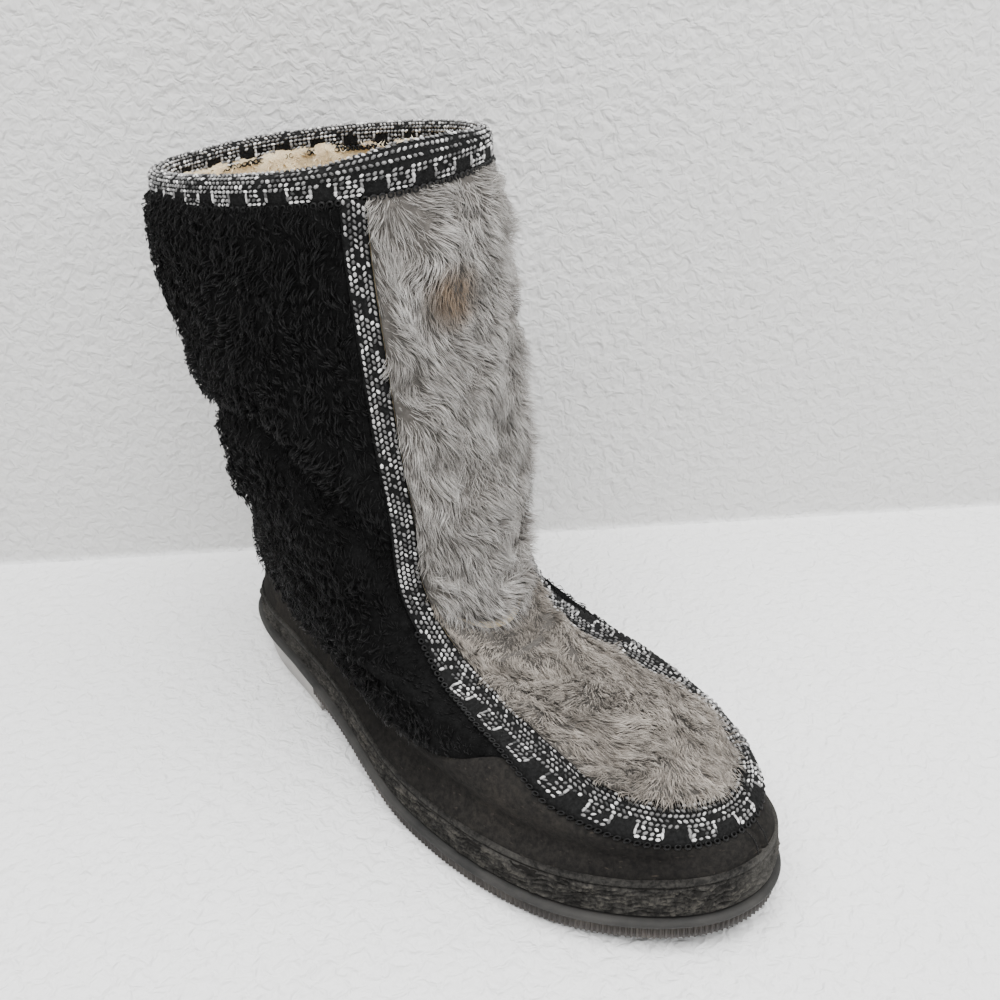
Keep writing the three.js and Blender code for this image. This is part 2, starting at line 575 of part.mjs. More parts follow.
// Curly pile round the shaft and quarters, from braid to braid round the back. Its rows and
// columns are the shell's own, so that it lies on the shell evenly.
function pileShaft() {
  const columns = Math.floor(0.35 * ROUND_STEPS);
  const across = 2 * columns + 3;
  const rows = UPPER_ROWS.filter((u) => u > LEATHER_TOP && u < braidTop - 0.2);
  const along = rows.length + 2;
  const place = (i, j) => {
    const column = i - columns - 1;
    const side = column > 0 ? -1 : 1;
    const round = Math.abs(column) / ROUND_STEPS;
    const join = edgeRoundAt(side, LEATHER_MEETS);
    const bottom = round < join ? leatherTop(side < 0 ? round : 1 - round) + 0.04 : LEATHER_MEETS + 0.05;
    const top = belowRim(side < 0 ? round : 1 - round, COLLAR_FALL + GAP);
    const u = j === 0 ? bottom : j === along - 1 ? top : Math.max(rows[j - 1], bottom + 0.04 * j);
    const edge = edgeRoundAt(side, u);
    const steps = columns + 1 - Math.abs(column);
    return [u, -side * (steps === 0 ? edge : Math.min(round, edge - 0.002 * steps))];
  };
  const roll = (i, j) => PILE_BUMP * Math.sin(2.4 * i + 1.7 * j) * Math.cos(1.9 * j - 0.8 * i);
  const nearBraid = (i, steps) => Math.abs(i - columns - 1) > columns - steps;
  const outer = (i, j) => {
    const rim = i === 0 || j === 0 || i === across - 1 || j === along - 1;
    const [u, v] = place(i, j);
    const thin = rim || (u < FLAP_END && nearBraid(i, 2));
    return offUpper(u, v, GAP + (thin ? BORDER_SHARE * PILE : PILE + roll(i, j)));
  };
  const inner = (i, j) => offUpper(...place(i, j), nearBraid(i, 5) ? BED : GAP);
  return slab("pile_shaft", outer, inner, across, along, false, 0x161514, 1);
}

// Woven braid from the rim, down beside the flap, round the toe and up again.
function frontBraid() {
  const [across, along] = [3, 50];
  const place = (i, j) => {
    const t = mix(BRAID_START, 1 - BRAID_START, j / (along - 1));
    return besideBraid(t, (i - 1) * braidHalf(t));
  };
  const outer = (i, j) => offUpper(...place(i, j), BED + BRAID * (i === 1 ? 1.15 : 1));
  const inner = (i, j) => offUpper(...place(i, j), BED);
  return slab("front_braid", outer, inner, across, along, false, 0x4a4a48, 0.9);
}

// Braid folded over the rim, with the rolled bulge at the front.
function collarBraid() {
  const over = BRAID + GAP;
  const profile = [
    { out: GAP, up: -COLLAR_FALL }, { out: over + 0.4, up: -COLLAR_FALL },
    { out: over + 1, up: -2 }, { out: over - 0.8, up: over * 0.8 }, { out: -WALL / 2, up: over + 0.5 },
    { out: -WALL - over + 0.8, up: over * 0.8 }, { out: -WALL - over - 1, up: -2 },
    { out: -WALL - over - 0.4, up: -COLLAR_TURN }, { out: -WALL - GAP, up: -COLLAR_TURN },
    { out: -WALL - GAP, up: GAP }, { out: GAP, up: GAP },
  ];
  const rings = Array.from({ length: ROUND_STEPS }, (_, i) => {
    const v = i / ROUND_STEPS;
    const rim = onUpper(RIM, v);
    const bulge = COLLAR_BULGE * Math.exp(-(((v - BULGE_ROUND) / 0.075) ** 2));
    return profile.map(({ out, up }) => {
      const u = up < 0 ? belowRim(v, -up) : RIM;
      const base = up < 0 ? onUpper(u, v) : rim.clone();
      const lift = up > GAP ? up + bulge : Math.max(0, up);
      return base.addScaledVector(frameAt(u, v).out, out).setZ(base.z + lift);
    });
  });
  return ring("collar_braid", rings, 0x4a4a48, 0.9);
}

// One lock of fur: a three-sided spike from under the fur's face to a tip that stands out of it.
function lock(u, v, height, flow) {
  const { out, up, round } = frameAt(u, v);
  const down = up.clone().normalize().multiplyScalar(flow.down);
  const way = down.addScaledVector(round.clone().normalize(), flow.round).normalize();
  const side = new THREE.Vector3().crossVectors(out, way).normalize();
  const root = onUpper(u, v).addScaledVector(out, height);
  const tip = root.clone().addScaledVector(way, LOCK_LENGTH).addScaledVector(out, LOCK_RISE);
  const points = [
    root.clone().addScaledVector(side, LOCK_WIDTH / 2).addScaledVector(out, -1.5),
    root.clone().addScaledVector(side, -LOCK_WIDTH / 2).addScaledVector(out, -1.5),
    root.clone().addScaledVector(way, LOCK_LENGTH * 0.6).addScaledVector(out, -1.5),
    root.clone().addScaledVector(way, LOCK_LENGTH * 0.25).addScaledVector(out, LOCK_RISE * 0.7),
    tip,
  ];
  const faces = [[0, 2, 1], [0, 1, 3], [0, 3, 4], [1, 4, 3], [0, 4, 2], [1, 2, 4]];
  return solidMesh("lock", points, faces, 0, 1);
}

// Fur piece: a slab over a patch of the upper, thinner at its edges, with locks fused on.
function furPiece(name, place, thick, across, along, locks) {
  const rim = (i, j) => i === 0 || j === 0 || i === across - 1 || j === along - 1;
  const edge = (i, j) => (rim(i, j) ? BORDER_SHARE : 1);
  const outer = (i, j) => offUpper(...place(i / (across - 1), j / (along - 1)), BED + thick * edge(i, j));
  const inner = (i, j) => offUpper(...place(i / (across - 1), j / (along - 1)), BED);
  const mesh = slab(name, outer, inner, across, along, false, 0xa6a49e, 1);
  let solid = toManifold(mesh);
  for (let j = 0; j < locks.along; j += 1) {
    for (let i = 0; i < locks.across; i += 1) {
      const a = mix(locks.from, locks.to, (i + 0.25 + (j % 2) * 0.5) / locks.across);
      const b = mix(locks.low, 0.95, (j + 0.5) / locks.along);
      const [u, v] = place(a, b);
      solid = solid.add(toManifold(lock(u, v, BED + thick, locks)));
    }
  }
  return fromManifold(mesh, solid);
}

// t of the braid where its inner edge has come down to a section.
function innerDown(section) {
  let t = BRAID_START;
  while (t < 0.5 && innerEdge(t)[0] > section) t += 0.001;
  return t;
}
const flapT = innerDown(FLAP_END + 0.75);

// Edge between flap and vamp: a rounded dip from braid to braid. off moves it down the boot.
function flapEdge(off) {
  const [from, to] = [innerEdge(flapT, 2 * GAP), innerEdge(1 - flapT, 2 * GAP)];
  return (a) => {
    const round = Math.sin(Math.PI * a);
    return [mix(mix(from[0], to[0], a), FLAP_END, round ** 0.6) - off * round, mix(from[1], to[1], a)];
  };
}
function shaftFlap() {
  const left = (b) => innerEdge(mix(flapT - 0.003, BRAID_START, b), 2 * GAP);
  const right = (b) => innerEdge(1 - mix(flapT - 0.003, BRAID_START, b), 2 * GAP);
  const top = (a) => {
    const v = mix(left(1)[1], right(1)[1], a);
    return [belowRim(v, COLLAR_FALL + GAP), v];
  };
  const place = patch(flapEdge(-0.14), top, left, right);
  const locks = { across: 4, along: 7, low: 0.16, from: 0.18, to: 0.8, down: -1, round: 0.12 };
  return furPiece("shaft_flap", place, FUR_FLAP, 9, 14, locks);
}
function vampPlug() {
  const left = (b) => innerEdge(mix(0.492, flapT + 0.003, b), 2 * GAP);
  const right = (b) => innerEdge(1 - mix(0.492, flapT + 0.003, b), 2 * GAP);
  const bottom = (a) => [left(0)[0], mix(left(0)[1], right(0)[1], a)];
  const place = patch(bottom, flapEdge(0.05), left, right);
  const locks = { across: 4, along: 5, low: 0.26, from: 0.3, to: 0.84, down: -1, round: -0.4 };
  return furPiece("vamp_plug", place, FUR_VAMP, 9, 16, locks);
}

boot.add(
  outsoleForefoot(),
  heelBlock(),
  soleLip(),
  foxingBand(),
  insole(),
  upper(),
  leatherFoxing(),
  pileShaft(),
  frontBraid(),
  collarBraid(),
  shaftFlap(),
  vampPlug(),
);

// The boot stands centred over its own footprint, with its lowest point at z = 0.
const box = new THREE.Box3().setFromObject(boot);
boot.position.set(-(box.min.x + box.max.x) / 2, -(box.min.y + box.max.y) / 2, -box.min.z);

export default boot;
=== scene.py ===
import math

import bmesh
import bpy
import numpy as np
from mathutils import Matrix, Vector


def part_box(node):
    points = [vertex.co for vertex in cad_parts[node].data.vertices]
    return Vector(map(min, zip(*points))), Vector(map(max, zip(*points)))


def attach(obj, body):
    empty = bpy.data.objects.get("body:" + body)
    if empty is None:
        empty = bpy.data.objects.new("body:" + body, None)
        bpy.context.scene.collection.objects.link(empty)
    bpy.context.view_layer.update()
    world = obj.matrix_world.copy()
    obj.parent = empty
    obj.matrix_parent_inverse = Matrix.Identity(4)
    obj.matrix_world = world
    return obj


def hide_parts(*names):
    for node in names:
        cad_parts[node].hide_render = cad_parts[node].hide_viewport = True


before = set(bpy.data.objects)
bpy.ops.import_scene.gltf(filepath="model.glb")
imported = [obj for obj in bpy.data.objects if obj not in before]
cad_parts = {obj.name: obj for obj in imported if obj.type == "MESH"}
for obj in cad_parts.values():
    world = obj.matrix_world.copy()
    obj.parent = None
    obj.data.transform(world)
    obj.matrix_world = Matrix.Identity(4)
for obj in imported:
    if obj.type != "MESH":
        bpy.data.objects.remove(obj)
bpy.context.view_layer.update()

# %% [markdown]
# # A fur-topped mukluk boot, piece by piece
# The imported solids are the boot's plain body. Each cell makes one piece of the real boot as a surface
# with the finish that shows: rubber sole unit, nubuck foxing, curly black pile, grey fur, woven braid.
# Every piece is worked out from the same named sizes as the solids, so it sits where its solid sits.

rng = np.random.default_rng(11)

LENGTH, BALL_WIDTH, HEEL_HEIGHT, FOREFOOT_HEIGHT, TOE_SPRING = 262.0, 97.0, 17.0, 6.0, 7.0
HEEL_LENGTH, HEEL_INSET, TREAD_INSET, LIP = 65.0, 4.5, 1.4, 3.2
BAND_TOE, BAND_HEEL, BAND_STEP, BAND_WALL, GROOVE = 17.0, 9.0, 2.2, 3.0, 1.2
BOOT_HEIGHT, BACK_HEIGHT, COLLAR_DEPTH, COLLAR_WIDTH = 235.0, 210.0, 131.0, 92.0
WALL, LEATHER = 2.6, 1.4
BRAID, BRAID_WIDTH, BRAID_SHOWN, COLLAR_FALL, COLLAR_TURN, COLLAR_BULGE = 2.4, 13.0, 8.0, 7.0, 5.0, 4.0
BULGE_ROUND, INSOLE, GAP, BED = 0.46, 3.5, 0.3, 0.9
LEATHER_TOP, LEATHER_HEEL, HEEL_TIP_ROUND, LEATHER_MEETS = 2.1, 3.2, 0.16, 3.2
BRAID_TOE_SECTION, BRAID_NARROWS, FLAP_END = 2.3, 5.6, 5.35
BACK_ROUND, SHAFT_ROUND = 2.2, 2.4
HEEL_MIDDLE, TOE_MIDDLE, SHAFT_BACK_MIDDLE, SHAFT_FRONT_MIDDLE = 0.145, 0.062, 0.09, 0.093

# half breadths of the sole at cosine-spaced stations: outer side, inner side
OUTLINE = np.array([
    (0.02, 0.3), (0.135, 0.395), (0.217, 0.408), (0.324, 0.412), (0.444, 0.433),
    (0.49, 0.5), (0.45, 0.495), (0.317, 0.393), (0.142, 0.249)])
# back, backUp, front, frontUp, outer, inner, widest, squareness of the toe, share of outline,
# inset, sag, follow
FOOT_ROWS = [
    (0.032, 0.157, 0.954, 0.107, 0.443, 0.433, 0.62, 2.5, 0.6, 0.045, 0, 0.5),
    (0.042, 0.23, 0.889, 0.148, 0.433, 0.402, 0.6, 2.4, 0.35, 0.06, 0, 0.2),
    (0.068, 0.294, 0.752, 0.175, 0.433, 0.392, 0.55, 2.4, 0.2, 0.06, 0.04, 0),
    (0.098, 0.357, 0.599, 0.215, 0.443, 0.412, 0.5, 2.3, 0.05, 0.06, 0.08, 0),
    (0.148, 0.42, 0.515, 0.323, 0.464, 0.454, 0.5, 2.2, 0, 0.06, 0.04, 0)]
# front, frontUp, backUp, depth, outer, inner
SHAFT_ROWS = [
    (0.5, 0.459, 0.483, 0.76, 0.5, 0.52), (0.485, 0.603, 0.599, 0.835, 0.5, 0.54),
    (0.473, 0.752, 0.726, 0.925, 0.49, 0.53), (0.463, 0.883, 0.863, 1, 0.48, 0.505),
    (0.463, 1, 1, 1, 0.478, 0.488)]
# section and share of the way round of the braid's middle line, from rim to toe
BRAID_LINE = [
    (11, 0.395), (9, 0.397), (7, 0.399), (6, 0.402), (5.3, 0.403), (4.7, 0.392), (4.1, 0.376),
    (3.5, 0.367), (3.0, 0.372), (2.7, 0.395), (2.5, 0.43), (2.38, 0.465)]

# %% [markdown]
# ## The last, as a function
# A boot is shaped over a last, so everything here starts from one surface: on_upper(u, v). u climbs
# from the sole to the rim through a short table of sections, and v goes once round, from the back by
# the outer side to the toe and back by the inner side. The alternative, a sculpted mesh, could not
# tell each piece where its neighbours lie; a function can.

# %% Curves through a table, and the sole's outline


def mix(a, b, t):
    return a + (b - a) * t


def ease(t):
    t = np.clip(t, 0, 1)
    return t * t * (3 - 2 * t)


def through(table, t, closed=False):
    """Catmull-Rom curve: a cubic through the table's rows, at row number t."""
    table = np.asarray(table, float)
    n = len(table)
    i = np.floor(t).astype(int)
    if not closed:
        i = np.clip(i, 0, n - 2)
    f = (t - i)[..., None]
    rows = [table[(i + k) % n] if closed else table[np.clip(i + k, 0, n - 1)] for k in (-1, 0, 1, 2)]
    a, b, c, d = rows
    return 0.5 * (2 * b + (c - a) * f + (2 * a - 5 * b + 4 * c - d) * f**2 + (3 * b - a - 3 * c + d) * f**3)


station_y = LENGTH / 2 * np.cos(np.pi * np.arange(1, 10) / 10)
outline_points = np.array(
    [(HEEL_MIDDLE * BALL_WIDTH, LENGTH / 2)]
    + [(-row[0] * BALL_WIDTH, y) for row, y in zip(OUTLINE, station_y)]
    + [(TOE_MIDDLE * BALL_WIDTH, -LENGTH / 2)]
    + [(row[1] * BALL_WIDTH, y) for row, y in zip(OUTLINE[::-1], station_y[::-1])])


def outline_at(way, inset=0.0):
    """The sole's outline at a share of the way round, moved inwards by inset along its normal."""
    n = len(outline_points)
    way = np.asarray(way, float)
    point = through(outline_points, (way % 1) * n, True)
    before = through(outline_points, ((way - 0.004) % 1) * n, True)
    after = through(outline_points, ((way + 0.004) % 1) * n, True)
    step = after - before
    long = np.hypot(step[..., 0], step[..., 1])
    return np.stack([point[..., 0] - inset * step[..., 1] / long,
                     point[..., 1] + inset * step[..., 0] / long], -1)


def lip_bottom(y):
    """Underside of the lip: heel height, easing down to the forefoot's, and up again at the toe."""
    ahead = 0.5 - y / LENGTH
    toe = np.clip((ahead - 0.62) / 0.38, 0, 1) ** 2
    return mix(HEEL_HEIGHT, FOREFOOT_HEIGHT, ease((ahead - 0.28) / 0.27)) + TOE_SPRING * toe


def sole_top(y):
    return lip_bottom(y) + LIP


def band_top(y):
    return sole_top(y) + mix(BAND_HEEL, BAND_TOE, 0.5 - y / LENGTH)


# the solids stand centred on their own footprint, so the same shift brings these pieces there
lip_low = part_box("sole_lip")[0]
own = outline_at(np.arange(40) / 40)
SHIFT = np.array([lip_low.x * 1000 - own[:, 0].min(), lip_low.y * 1000 - own[:, 1].min(), 0.0])
print("shift of the boot in mm", SHIFT.round(3))

# %% The sections of the upper, and the surface through them
UPPER_INSET = BAND_STEP + BAND_WALL + GAP
half = LENGTH / 2
back_rise = BACK_HEIGHT - sole_top(half)
front_rise = BOOT_HEIGHT - sole_top(-half)
B, C = BALL_WIDTH, COLLAR_WIDTH


def ahead_to_y(share):
    return LENGTH * (0.5 - share)


def band_row(up):
    back_y = outline_at(0.0, UPPER_INSET)[1]
    front_y = outline_at(0.5, UPPER_INSET)[1]
    rise = [(band_top(y) - sole_top(y) if up else 0) + GAP for y in (back_y, front_y)]
    return (back_y, sole_top(back_y) + rise[0], front_y, sole_top(front_y) + rise[1], 0, 0,
            HEEL_MIDDLE * B, TOE_MIDDLE * B, 0.6, 2.5, 1, UPPER_INSET, 0, 1)


SECTIONS = np.array(
    [band_row(False), band_row(True)]
    + [(ahead_to_y(r[0]), sole_top(half) + r[1] * back_rise, ahead_to_y(r[2]),
        sole_top(-half) + r[3] * front_rise, r[4] * B, r[5] * B, HEEL_MIDDLE * B, TOE_MIDDLE * B,
        r[6], r[7], r[8], r[9] * B, r[10] * B, r[11]) for r in FOOT_ROWS]
    + [(ahead_to_y(r[0]) + r[3] * COLLAR_DEPTH, sole_top(half) + r[2] * back_rise,
        ahead_to_y(r[0]), sole_top(-half) + r[1] * front_rise, r[4] * C, r[5] * C,
        SHAFT_BACK_MIDDLE * B, SHAFT_FRONT_MIDDLE * B, 0.5, SHAFT_ROUND, 0, UPPER_INSET, 0, 0)
       for r in SHAFT_ROWS])
RIM = len(SECTIONS) - 1


def on_upper(u, v):
    """Each section is a rounded loop between a back and a front point, its half widths following
    a superellipse, blended near the sole with the sole's own outline."""
    u, v = np.broadcast_arrays(np.asarray(u, float), np.asarray(v, float) % 1)
    (back_y, back_z, front_y, front_z, lateral, medial, back_x, front_x, widest, toe_round,
     outline, inset, sag, follow) = np.moveaxis(through(SECTIONS, u), -1, 0)
    side = np.where(v < 0.5, -1.0, 1.0)
    part = np.where(v < 0.5, 2 * v, 2 * (1 - v))
    turn = np.pi * np.minimum(part, 1 - part)
    power = 2 / np.where(part < 0.5, BACK_ROUND, toe_round)
    along = 1 - np.maximum(0, np.cos(turn)) ** power
    breadth = np.maximum(0, np.sin(turn)) ** power
    share = np.where(part < 0.5, widest * along, 1 - (1 - widest) * along)
    edge = outline_at(v, inset)
    low_y, high_y = outline_at(np.zeros_like(v), inset)[..., 1], outline_at(0.5 + 0 * v, inset)[..., 1]
    t = mix(share, (low_y - edge[..., 1]) / (low_y - high_y), outline)
    x = mix(back_x, front_x, share) + side * breadth * np.where(side < 0, lateral, medial)
    y = mix(back_y, front_y, t)
    dip = sag * np.sin(np.pi * np.clip(t, 0, 1))
    curve = sole_top(y) - mix(sole_top(back_y), sole_top(front_y), t)
    z = mix(back_z, front_z, t) - dip + follow * curve
    return np.stack([mix(x, edge[..., 0], outline), y, z], -1)


def unit(a):
    return a / np.maximum(np.linalg.norm(a, axis=-1, keepdims=True), 1e-9)


def dot(a, b):
    return (a * b).sum(-1)


def frame_at(u, v):
    """Directions out of the upper, up its face and round it, from central differences."""
    u, v = np.broadcast_arrays(np.asarray(u, float), np.asarray(v, float))
    low, high = np.maximum(0, u - 0.02), np.minimum(RIM, u + 0.02)
    up = (on_upper(high, v) - on_upper(low, v)) / (high - low)[..., None]
    way = (on_upper(u, v + 0.005) - on_upper(u, v - 0.005)) / 0.01
    out = unit(np.cross(way, up))
    out[..., 2] *= ease(u)
    return unit(out), up, way


def off_upper(u, v, out):
    return on_upper(u, v) + frame_at(u, v)[0] * np.asarray(out, float)[..., None]


def slide(u, v, direction, distance):
    """Moves a place on the upper by millimetres along a direction lying in its face."""
    _, up, way = frame_at(u, v)
    uu, uv, vv = dot(up, up), dot(up, way), dot(way, way)
    du, dv = dot(direction, up), dot(direction, way)
    det = uu * vv - uv * uv
    return u + distance * (du * vv - dv * uv) / det, v + distance * (dv * uu - du * uv) / det


def below_rim(v, drop):
    """Section at which the face has come this far below the rim, by repeated correction."""
    v, drop = np.broadcast_arrays(np.asarray(v, float), np.asarray(drop, float))
    u = np.full(v.shape, float(RIM))
    height = on_upper(u, v)[..., 2] - drop
    for _ in range(30):
        u = np.minimum(RIM, u + (height - on_upper(u, v)[..., 2]) / 30)
    return u


print("rim at the front and back in mm", on_upper(RIM, 0.5)[2].round(1), on_upper(RIM, 0.0)[2].round(1))

# %% [markdown]
# ## Where the braid runs, and what it bounds
# The maker's woven ribbon covers the raw joins between fur, pile and leather, so its line down the
# shaft and round the toe is also the edge of all of them. One curve in (u, v) serves them all.

# %% The braid's line and the edges beside it
braid_rows = np.array(
    BRAID_LINE + [(BRAID_TOE_SECTION, 0.5)] + [(u, 1 - v) for u, v in BRAID_LINE[::-1]], float)


def braid_at(t):
    return np.moveaxis(through(braid_rows, np.clip(t, 0, 1) * (len(braid_rows) - 1)), -1, 0)


def beside_braid(t, aside):
    """A place beside the braid's middle line, aside in millimetres, positive towards the flap."""
    u, v = braid_at(t)
    along = unit(on_upper(*braid_at(t + 0.003)) - on_upper(*braid_at(t - 0.003)))
    across = unit(np.cross(frame_at(u, v)[0], along))
    return slide(u, v, across, aside)


def braid_half(t):
    return mix(BRAID_WIDTH, BRAID_SHOWN, ease((braid_at(t)[0] - BRAID_NARROWS + 1.2) / 1.2)) / 2


def inner_edge(t, gap=GAP):
    return beside_braid(t, braid_half(t) + gap)


def outer_edge(t, gap=GAP):
    return beside_braid(t, -braid_half(t) - gap)


steps = np.linspace(0, 0.5, 4001)
BRAID_START = steps[np.argmax(braid_at(steps)[0] <= below_rim(BRAID_LINE[0][1], COLLAR_FALL))]
edge_t = np.linspace(BRAID_START, 0.5, 700)
edges = {-1: outer_edge(edge_t, 0.0), 1: outer_edge(1 - edge_t, 0.0)}
edge_table = {}
for side, (u, v) in edges.items():
    keep = u > 2.9
    order = np.argsort(u[keep])
    edge_table[side] = (u[keep][order], (v if side < 0 else 1 - v)[keep][order])
    # the lowest part of the edge runs round the toe, so it is read the other way, by its round
    low = u <= 3.3
    order = np.argsort((v if side < 0 else 1 - v)[low])
    edge_table[side, "toe"] = ((v if side < 0 else 1 - v)[low][order], u[low][order])


def edge_round(side, u):
    """Share of the way round at which the braid's outer edge crosses a section, on one side."""
    return np.where(side < 0, np.interp(u, *edge_table[-1]), np.interp(u, *edge_table[1]))


join = {side: float(edge_round(side, LEATHER_MEETS)) for side in (-1, 1)}


def leather_top(v):
    """Upper edge of the leather: a tip at the heel, low along the side, then up into the braid."""
    v = np.asarray(v, float) % 1
    side = np.where(v < 0.5, -1, 1)
    way = np.minimum(v, 1 - v)
    meet = np.where(side < 0, join[-1], join[1])
    heel = mix(LEATHER_HEEL, LEATHER_TOP, np.clip(way / HEEL_TIP_ROUND, 0, 1) ** 0.8)
    rise = mix(LEATHER_TOP, LEATHER_MEETS, ease((way - meet + 0.09) / 0.09))
    toe = np.where(side < 0, np.interp(way, *edge_table[-1, "toe"]), np.interp(way, *edge_table[1, "toe"]))
    return np.where(way < HEEL_TIP_ROUND, heel, np.where(way < meet, rise, toe))


def patch(bottom, top, left, right):
    """Coons patch: the two blends of opposite edges, less the blend of the four corners."""
    def place(a, b):
        a, b = np.broadcast_arrays(np.asarray(a, float), np.asarray(b, float))
        zero, one = np.zeros_like(a), np.ones_like(a)
        parts = zip(bottom(a), top(a), left(b), right(b), left(zero), right(zero), left(one), right(one))
        return [mix(le, ri, a) + mix(bo, to, b) - mix(mix(l0, r0, a), mix(l1, r1, a), b)
                for bo, to, le, ri, l0, r0, l1, r1 in parts]
    return place


inner_u = inner_edge(steps)[0]
flap_t = steps[np.argmax((inner_u <= FLAP_END + 0.75) & (steps > BRAID_START))]


def flap_edge(off):
    ends = [inner_edge(np.array(t), GAP) for t in (flap_t, 1 - flap_t)]

    def edge(a):
        bend = np.sin(np.pi * a)
        return (mix(mix(ends[0][0], ends[1][0], a), FLAP_END, bend**0.6) - off * bend,
                mix(ends[0][1], ends[1][1], a))
    return edge


def flap_top(a):
    ends = [inner_edge(np.array(t), GAP)[1] for t in (BRAID_START, 1 - BRAID_START)]
    v = mix(ends[0], ends[1], a)
    return below_rim(v, COLLAR_FALL), v


flap_place = patch(
    flap_edge(-0.1), flap_top,
    lambda b: inner_edge(mix(flap_t - 0.003, BRAID_START, b)),
    lambda b: inner_edge(1 - mix(flap_t - 0.003, BRAID_START, b)))
vamp_low = [inner_edge(np.array(t)) for t in (0.492, 0.508)]
vamp_place = patch(
    lambda a: (vamp_low[0][0] + 0 * a, mix(vamp_low[0][1], vamp_low[1][1], a)), flap_edge(0.0),
    lambda b: inner_edge(mix(0.492, flap_t + 0.003, b)),
    lambda b: inner_edge(1 - mix(0.492, flap_t + 0.003, b)))
print("braid starts at", round(float(BRAID_START), 4), "flap ends at", round(float(flap_t), 4))

# %% [markdown]
# ## Rolling unevenness
# Worn fur, leather and rubber are never even. A value noise made with numpy gives every piece its
# soft lumps: random heights on a lattice, blended smoothly. Blender's displacement textures would
# do it too, but a formula keeps the result in the mesh and the same in each run.

# %% Smooth noise on a lattice
LATTICE = np.random.default_rng(5).random((64, 64)) * 2 - 1


def noise(x, y, seed=0):
    """Value noise, -1 to 1: lattice heights blended with an ease curve in both directions."""
    x, y = np.asarray(x, float) + 13.7 * seed, np.asarray(y, float) + 7.3 * seed
    i, j = np.floor(x).astype(int), np.floor(y).astype(int)
    fx, fy = ease(x - i), ease(y - j)
    at = lambda a, b: LATTICE[a % 64, b % 64]
    return mix(mix(at(i, j), at(i + 1, j), fx), mix(at(i, j + 1), at(i + 1, j + 1), fx), fy)


def layered(x, y, seed=0, octaves=3):
    return sum(noise(x * 2**k, y * 2**k, seed + k) / 2**k for k in range(octaves))


# %% [markdown]
# ## Creases
# A worn boot folds at the ankle, and fur parts where the foot bends. Each fold is one line drawn on
# the last, and it sinks or lifts whatever lies on it by a bell of the distance, so the felt,
# the pile and their hairs all follow the same fold. Sculpting would have to be done three times.

# %% The creases, laid one by one
# Each crease is a row: points along it as section and share of the way round, its width in
# millimetres, and its depth, which is negative for a ridge.
CREASES = [
    ([(7.3, -0.06), (7.7, 0.06), (8.05, 0.17), (8.1, 0.25), (7.65, 0.285), (7.1, 0.33), (6.6, 0.372),
      (6.0, 0.4)], 6.5, 6.5),
    ([(7.9, -0.06), (8.3, 0.06), (8.65, 0.17), (8.75, 0.25), (8.3, 0.29), (7.8, 0.33),
      (7.3, 0.37)], 9.0, -1.8),
    ([(6.5, -0.04), (6.8, 0.08), (7.1, 0.2), (6.8, 0.27), (6.3, 0.33)], 10.0, -2.0),
    ([(7.5, 1.04), (7.4, 0.95), (7.1, 0.85), (6.7, 0.75), (6.2, 0.65)], 7.0, 4.5),
    ([(6.4, 0.98), (6.3, 0.9), (6.0, 0.8), (5.7, 0.72)], 10.0, -2.0),
    ([(5.1, 0.425), (4.9, 0.447), (4.5, 0.45), (4.2, 0.44), (4.0, 0.42)], 5.5, 4.2),
    ([(4.7, 0.47), (4.5, 0.5), (4.4, 0.54)], 6.0, 1.8),
    ([(5.22, 0.425), (5.08, 0.5), (5.22, 0.575)], 4.5, 4.0),
    ([(3.55, 0.42), (3.45, 0.47), (3.4, 0.53), (3.45, 0.58)], 6.0, 1.2),
]
crease_lines = []
for points, width, depth in CREASES:
    rows = through(points, np.linspace(0, len(points) - 1, 60))
    crease_lines.append((on_upper(rows[:, 0], rows[:, 1]), width, depth))


def creased(points):
    """How far a point of the upper sinks: for each crease, depth times a bell of the distance."""
    flat = points.reshape(-1, 3)
    sink = np.zeros(len(flat))
    for line, width, depth in crease_lines:
        near = np.full(len(flat), 1e9)
        for k in range(0, len(line), 2):
            near = np.minimum(near, ((flat - line[k]) ** 2).sum(-1))
        sink += depth * np.exp(-near / (width * 0.6) ** 2)
    return sink.reshape(points.shape[:-1])


# %% [markdown]
# ## From arrays to meshes
# A grid of points becomes quads by index arithmetic, and foreach_set writes the arrays in one go.
# Skins get their thickness from a second grid underneath, joined round the border, so they are
# closed like the cut pieces they stand for.

# %% Mesh helpers


def place_mesh(name, points, faces, uv=None, smooth=True):
    """Writes millimetre points and arrays of triangles or quads as one object, in metres."""
    mesh = bpy.data.meshes.new(name)
    points = (np.asarray(points, float).reshape(-1, 3) + SHIFT) / 1000
    faces = [np.asarray(f, np.int32) for f in faces if len(f)]
    loops = np.concatenate([f.ravel() for f in faces])
    totals = np.concatenate([np.full(len(f), f.shape[1], np.int32) for f in faces])
    mesh.vertices.add(len(points))
    mesh.vertices.foreach_set("co", points.ravel().astype(np.float32))
    mesh.loops.add(len(loops))
    mesh.loops.foreach_set("vertex_index", loops)
    mesh.polygons.add(len(totals))
    mesh.polygons.foreach_set("loop_start", np.concatenate([[0], np.cumsum(totals)[:-1]]).astype(np.int32))
    mesh.polygons.foreach_set("loop_total", totals)
    if uv is not None:
        layer = mesh.uv_layers.new(name="UVMap")
        layer.data.foreach_set("uv", np.asarray(uv, np.float32).reshape(-1, 2)[loops].ravel())
    mesh.update(calc_edges=True)
    mesh.validate()
    mesh.polygons.foreach_set("use_smooth", np.full(len(mesh.polygons), smooth))
    obj = bpy.data.objects.new(name, mesh)
    bpy.context.scene.collection.objects.link(obj)
    triangles = int((totals - 2).sum())
    print(f"{name}: {triangles} triangles")
    return obj


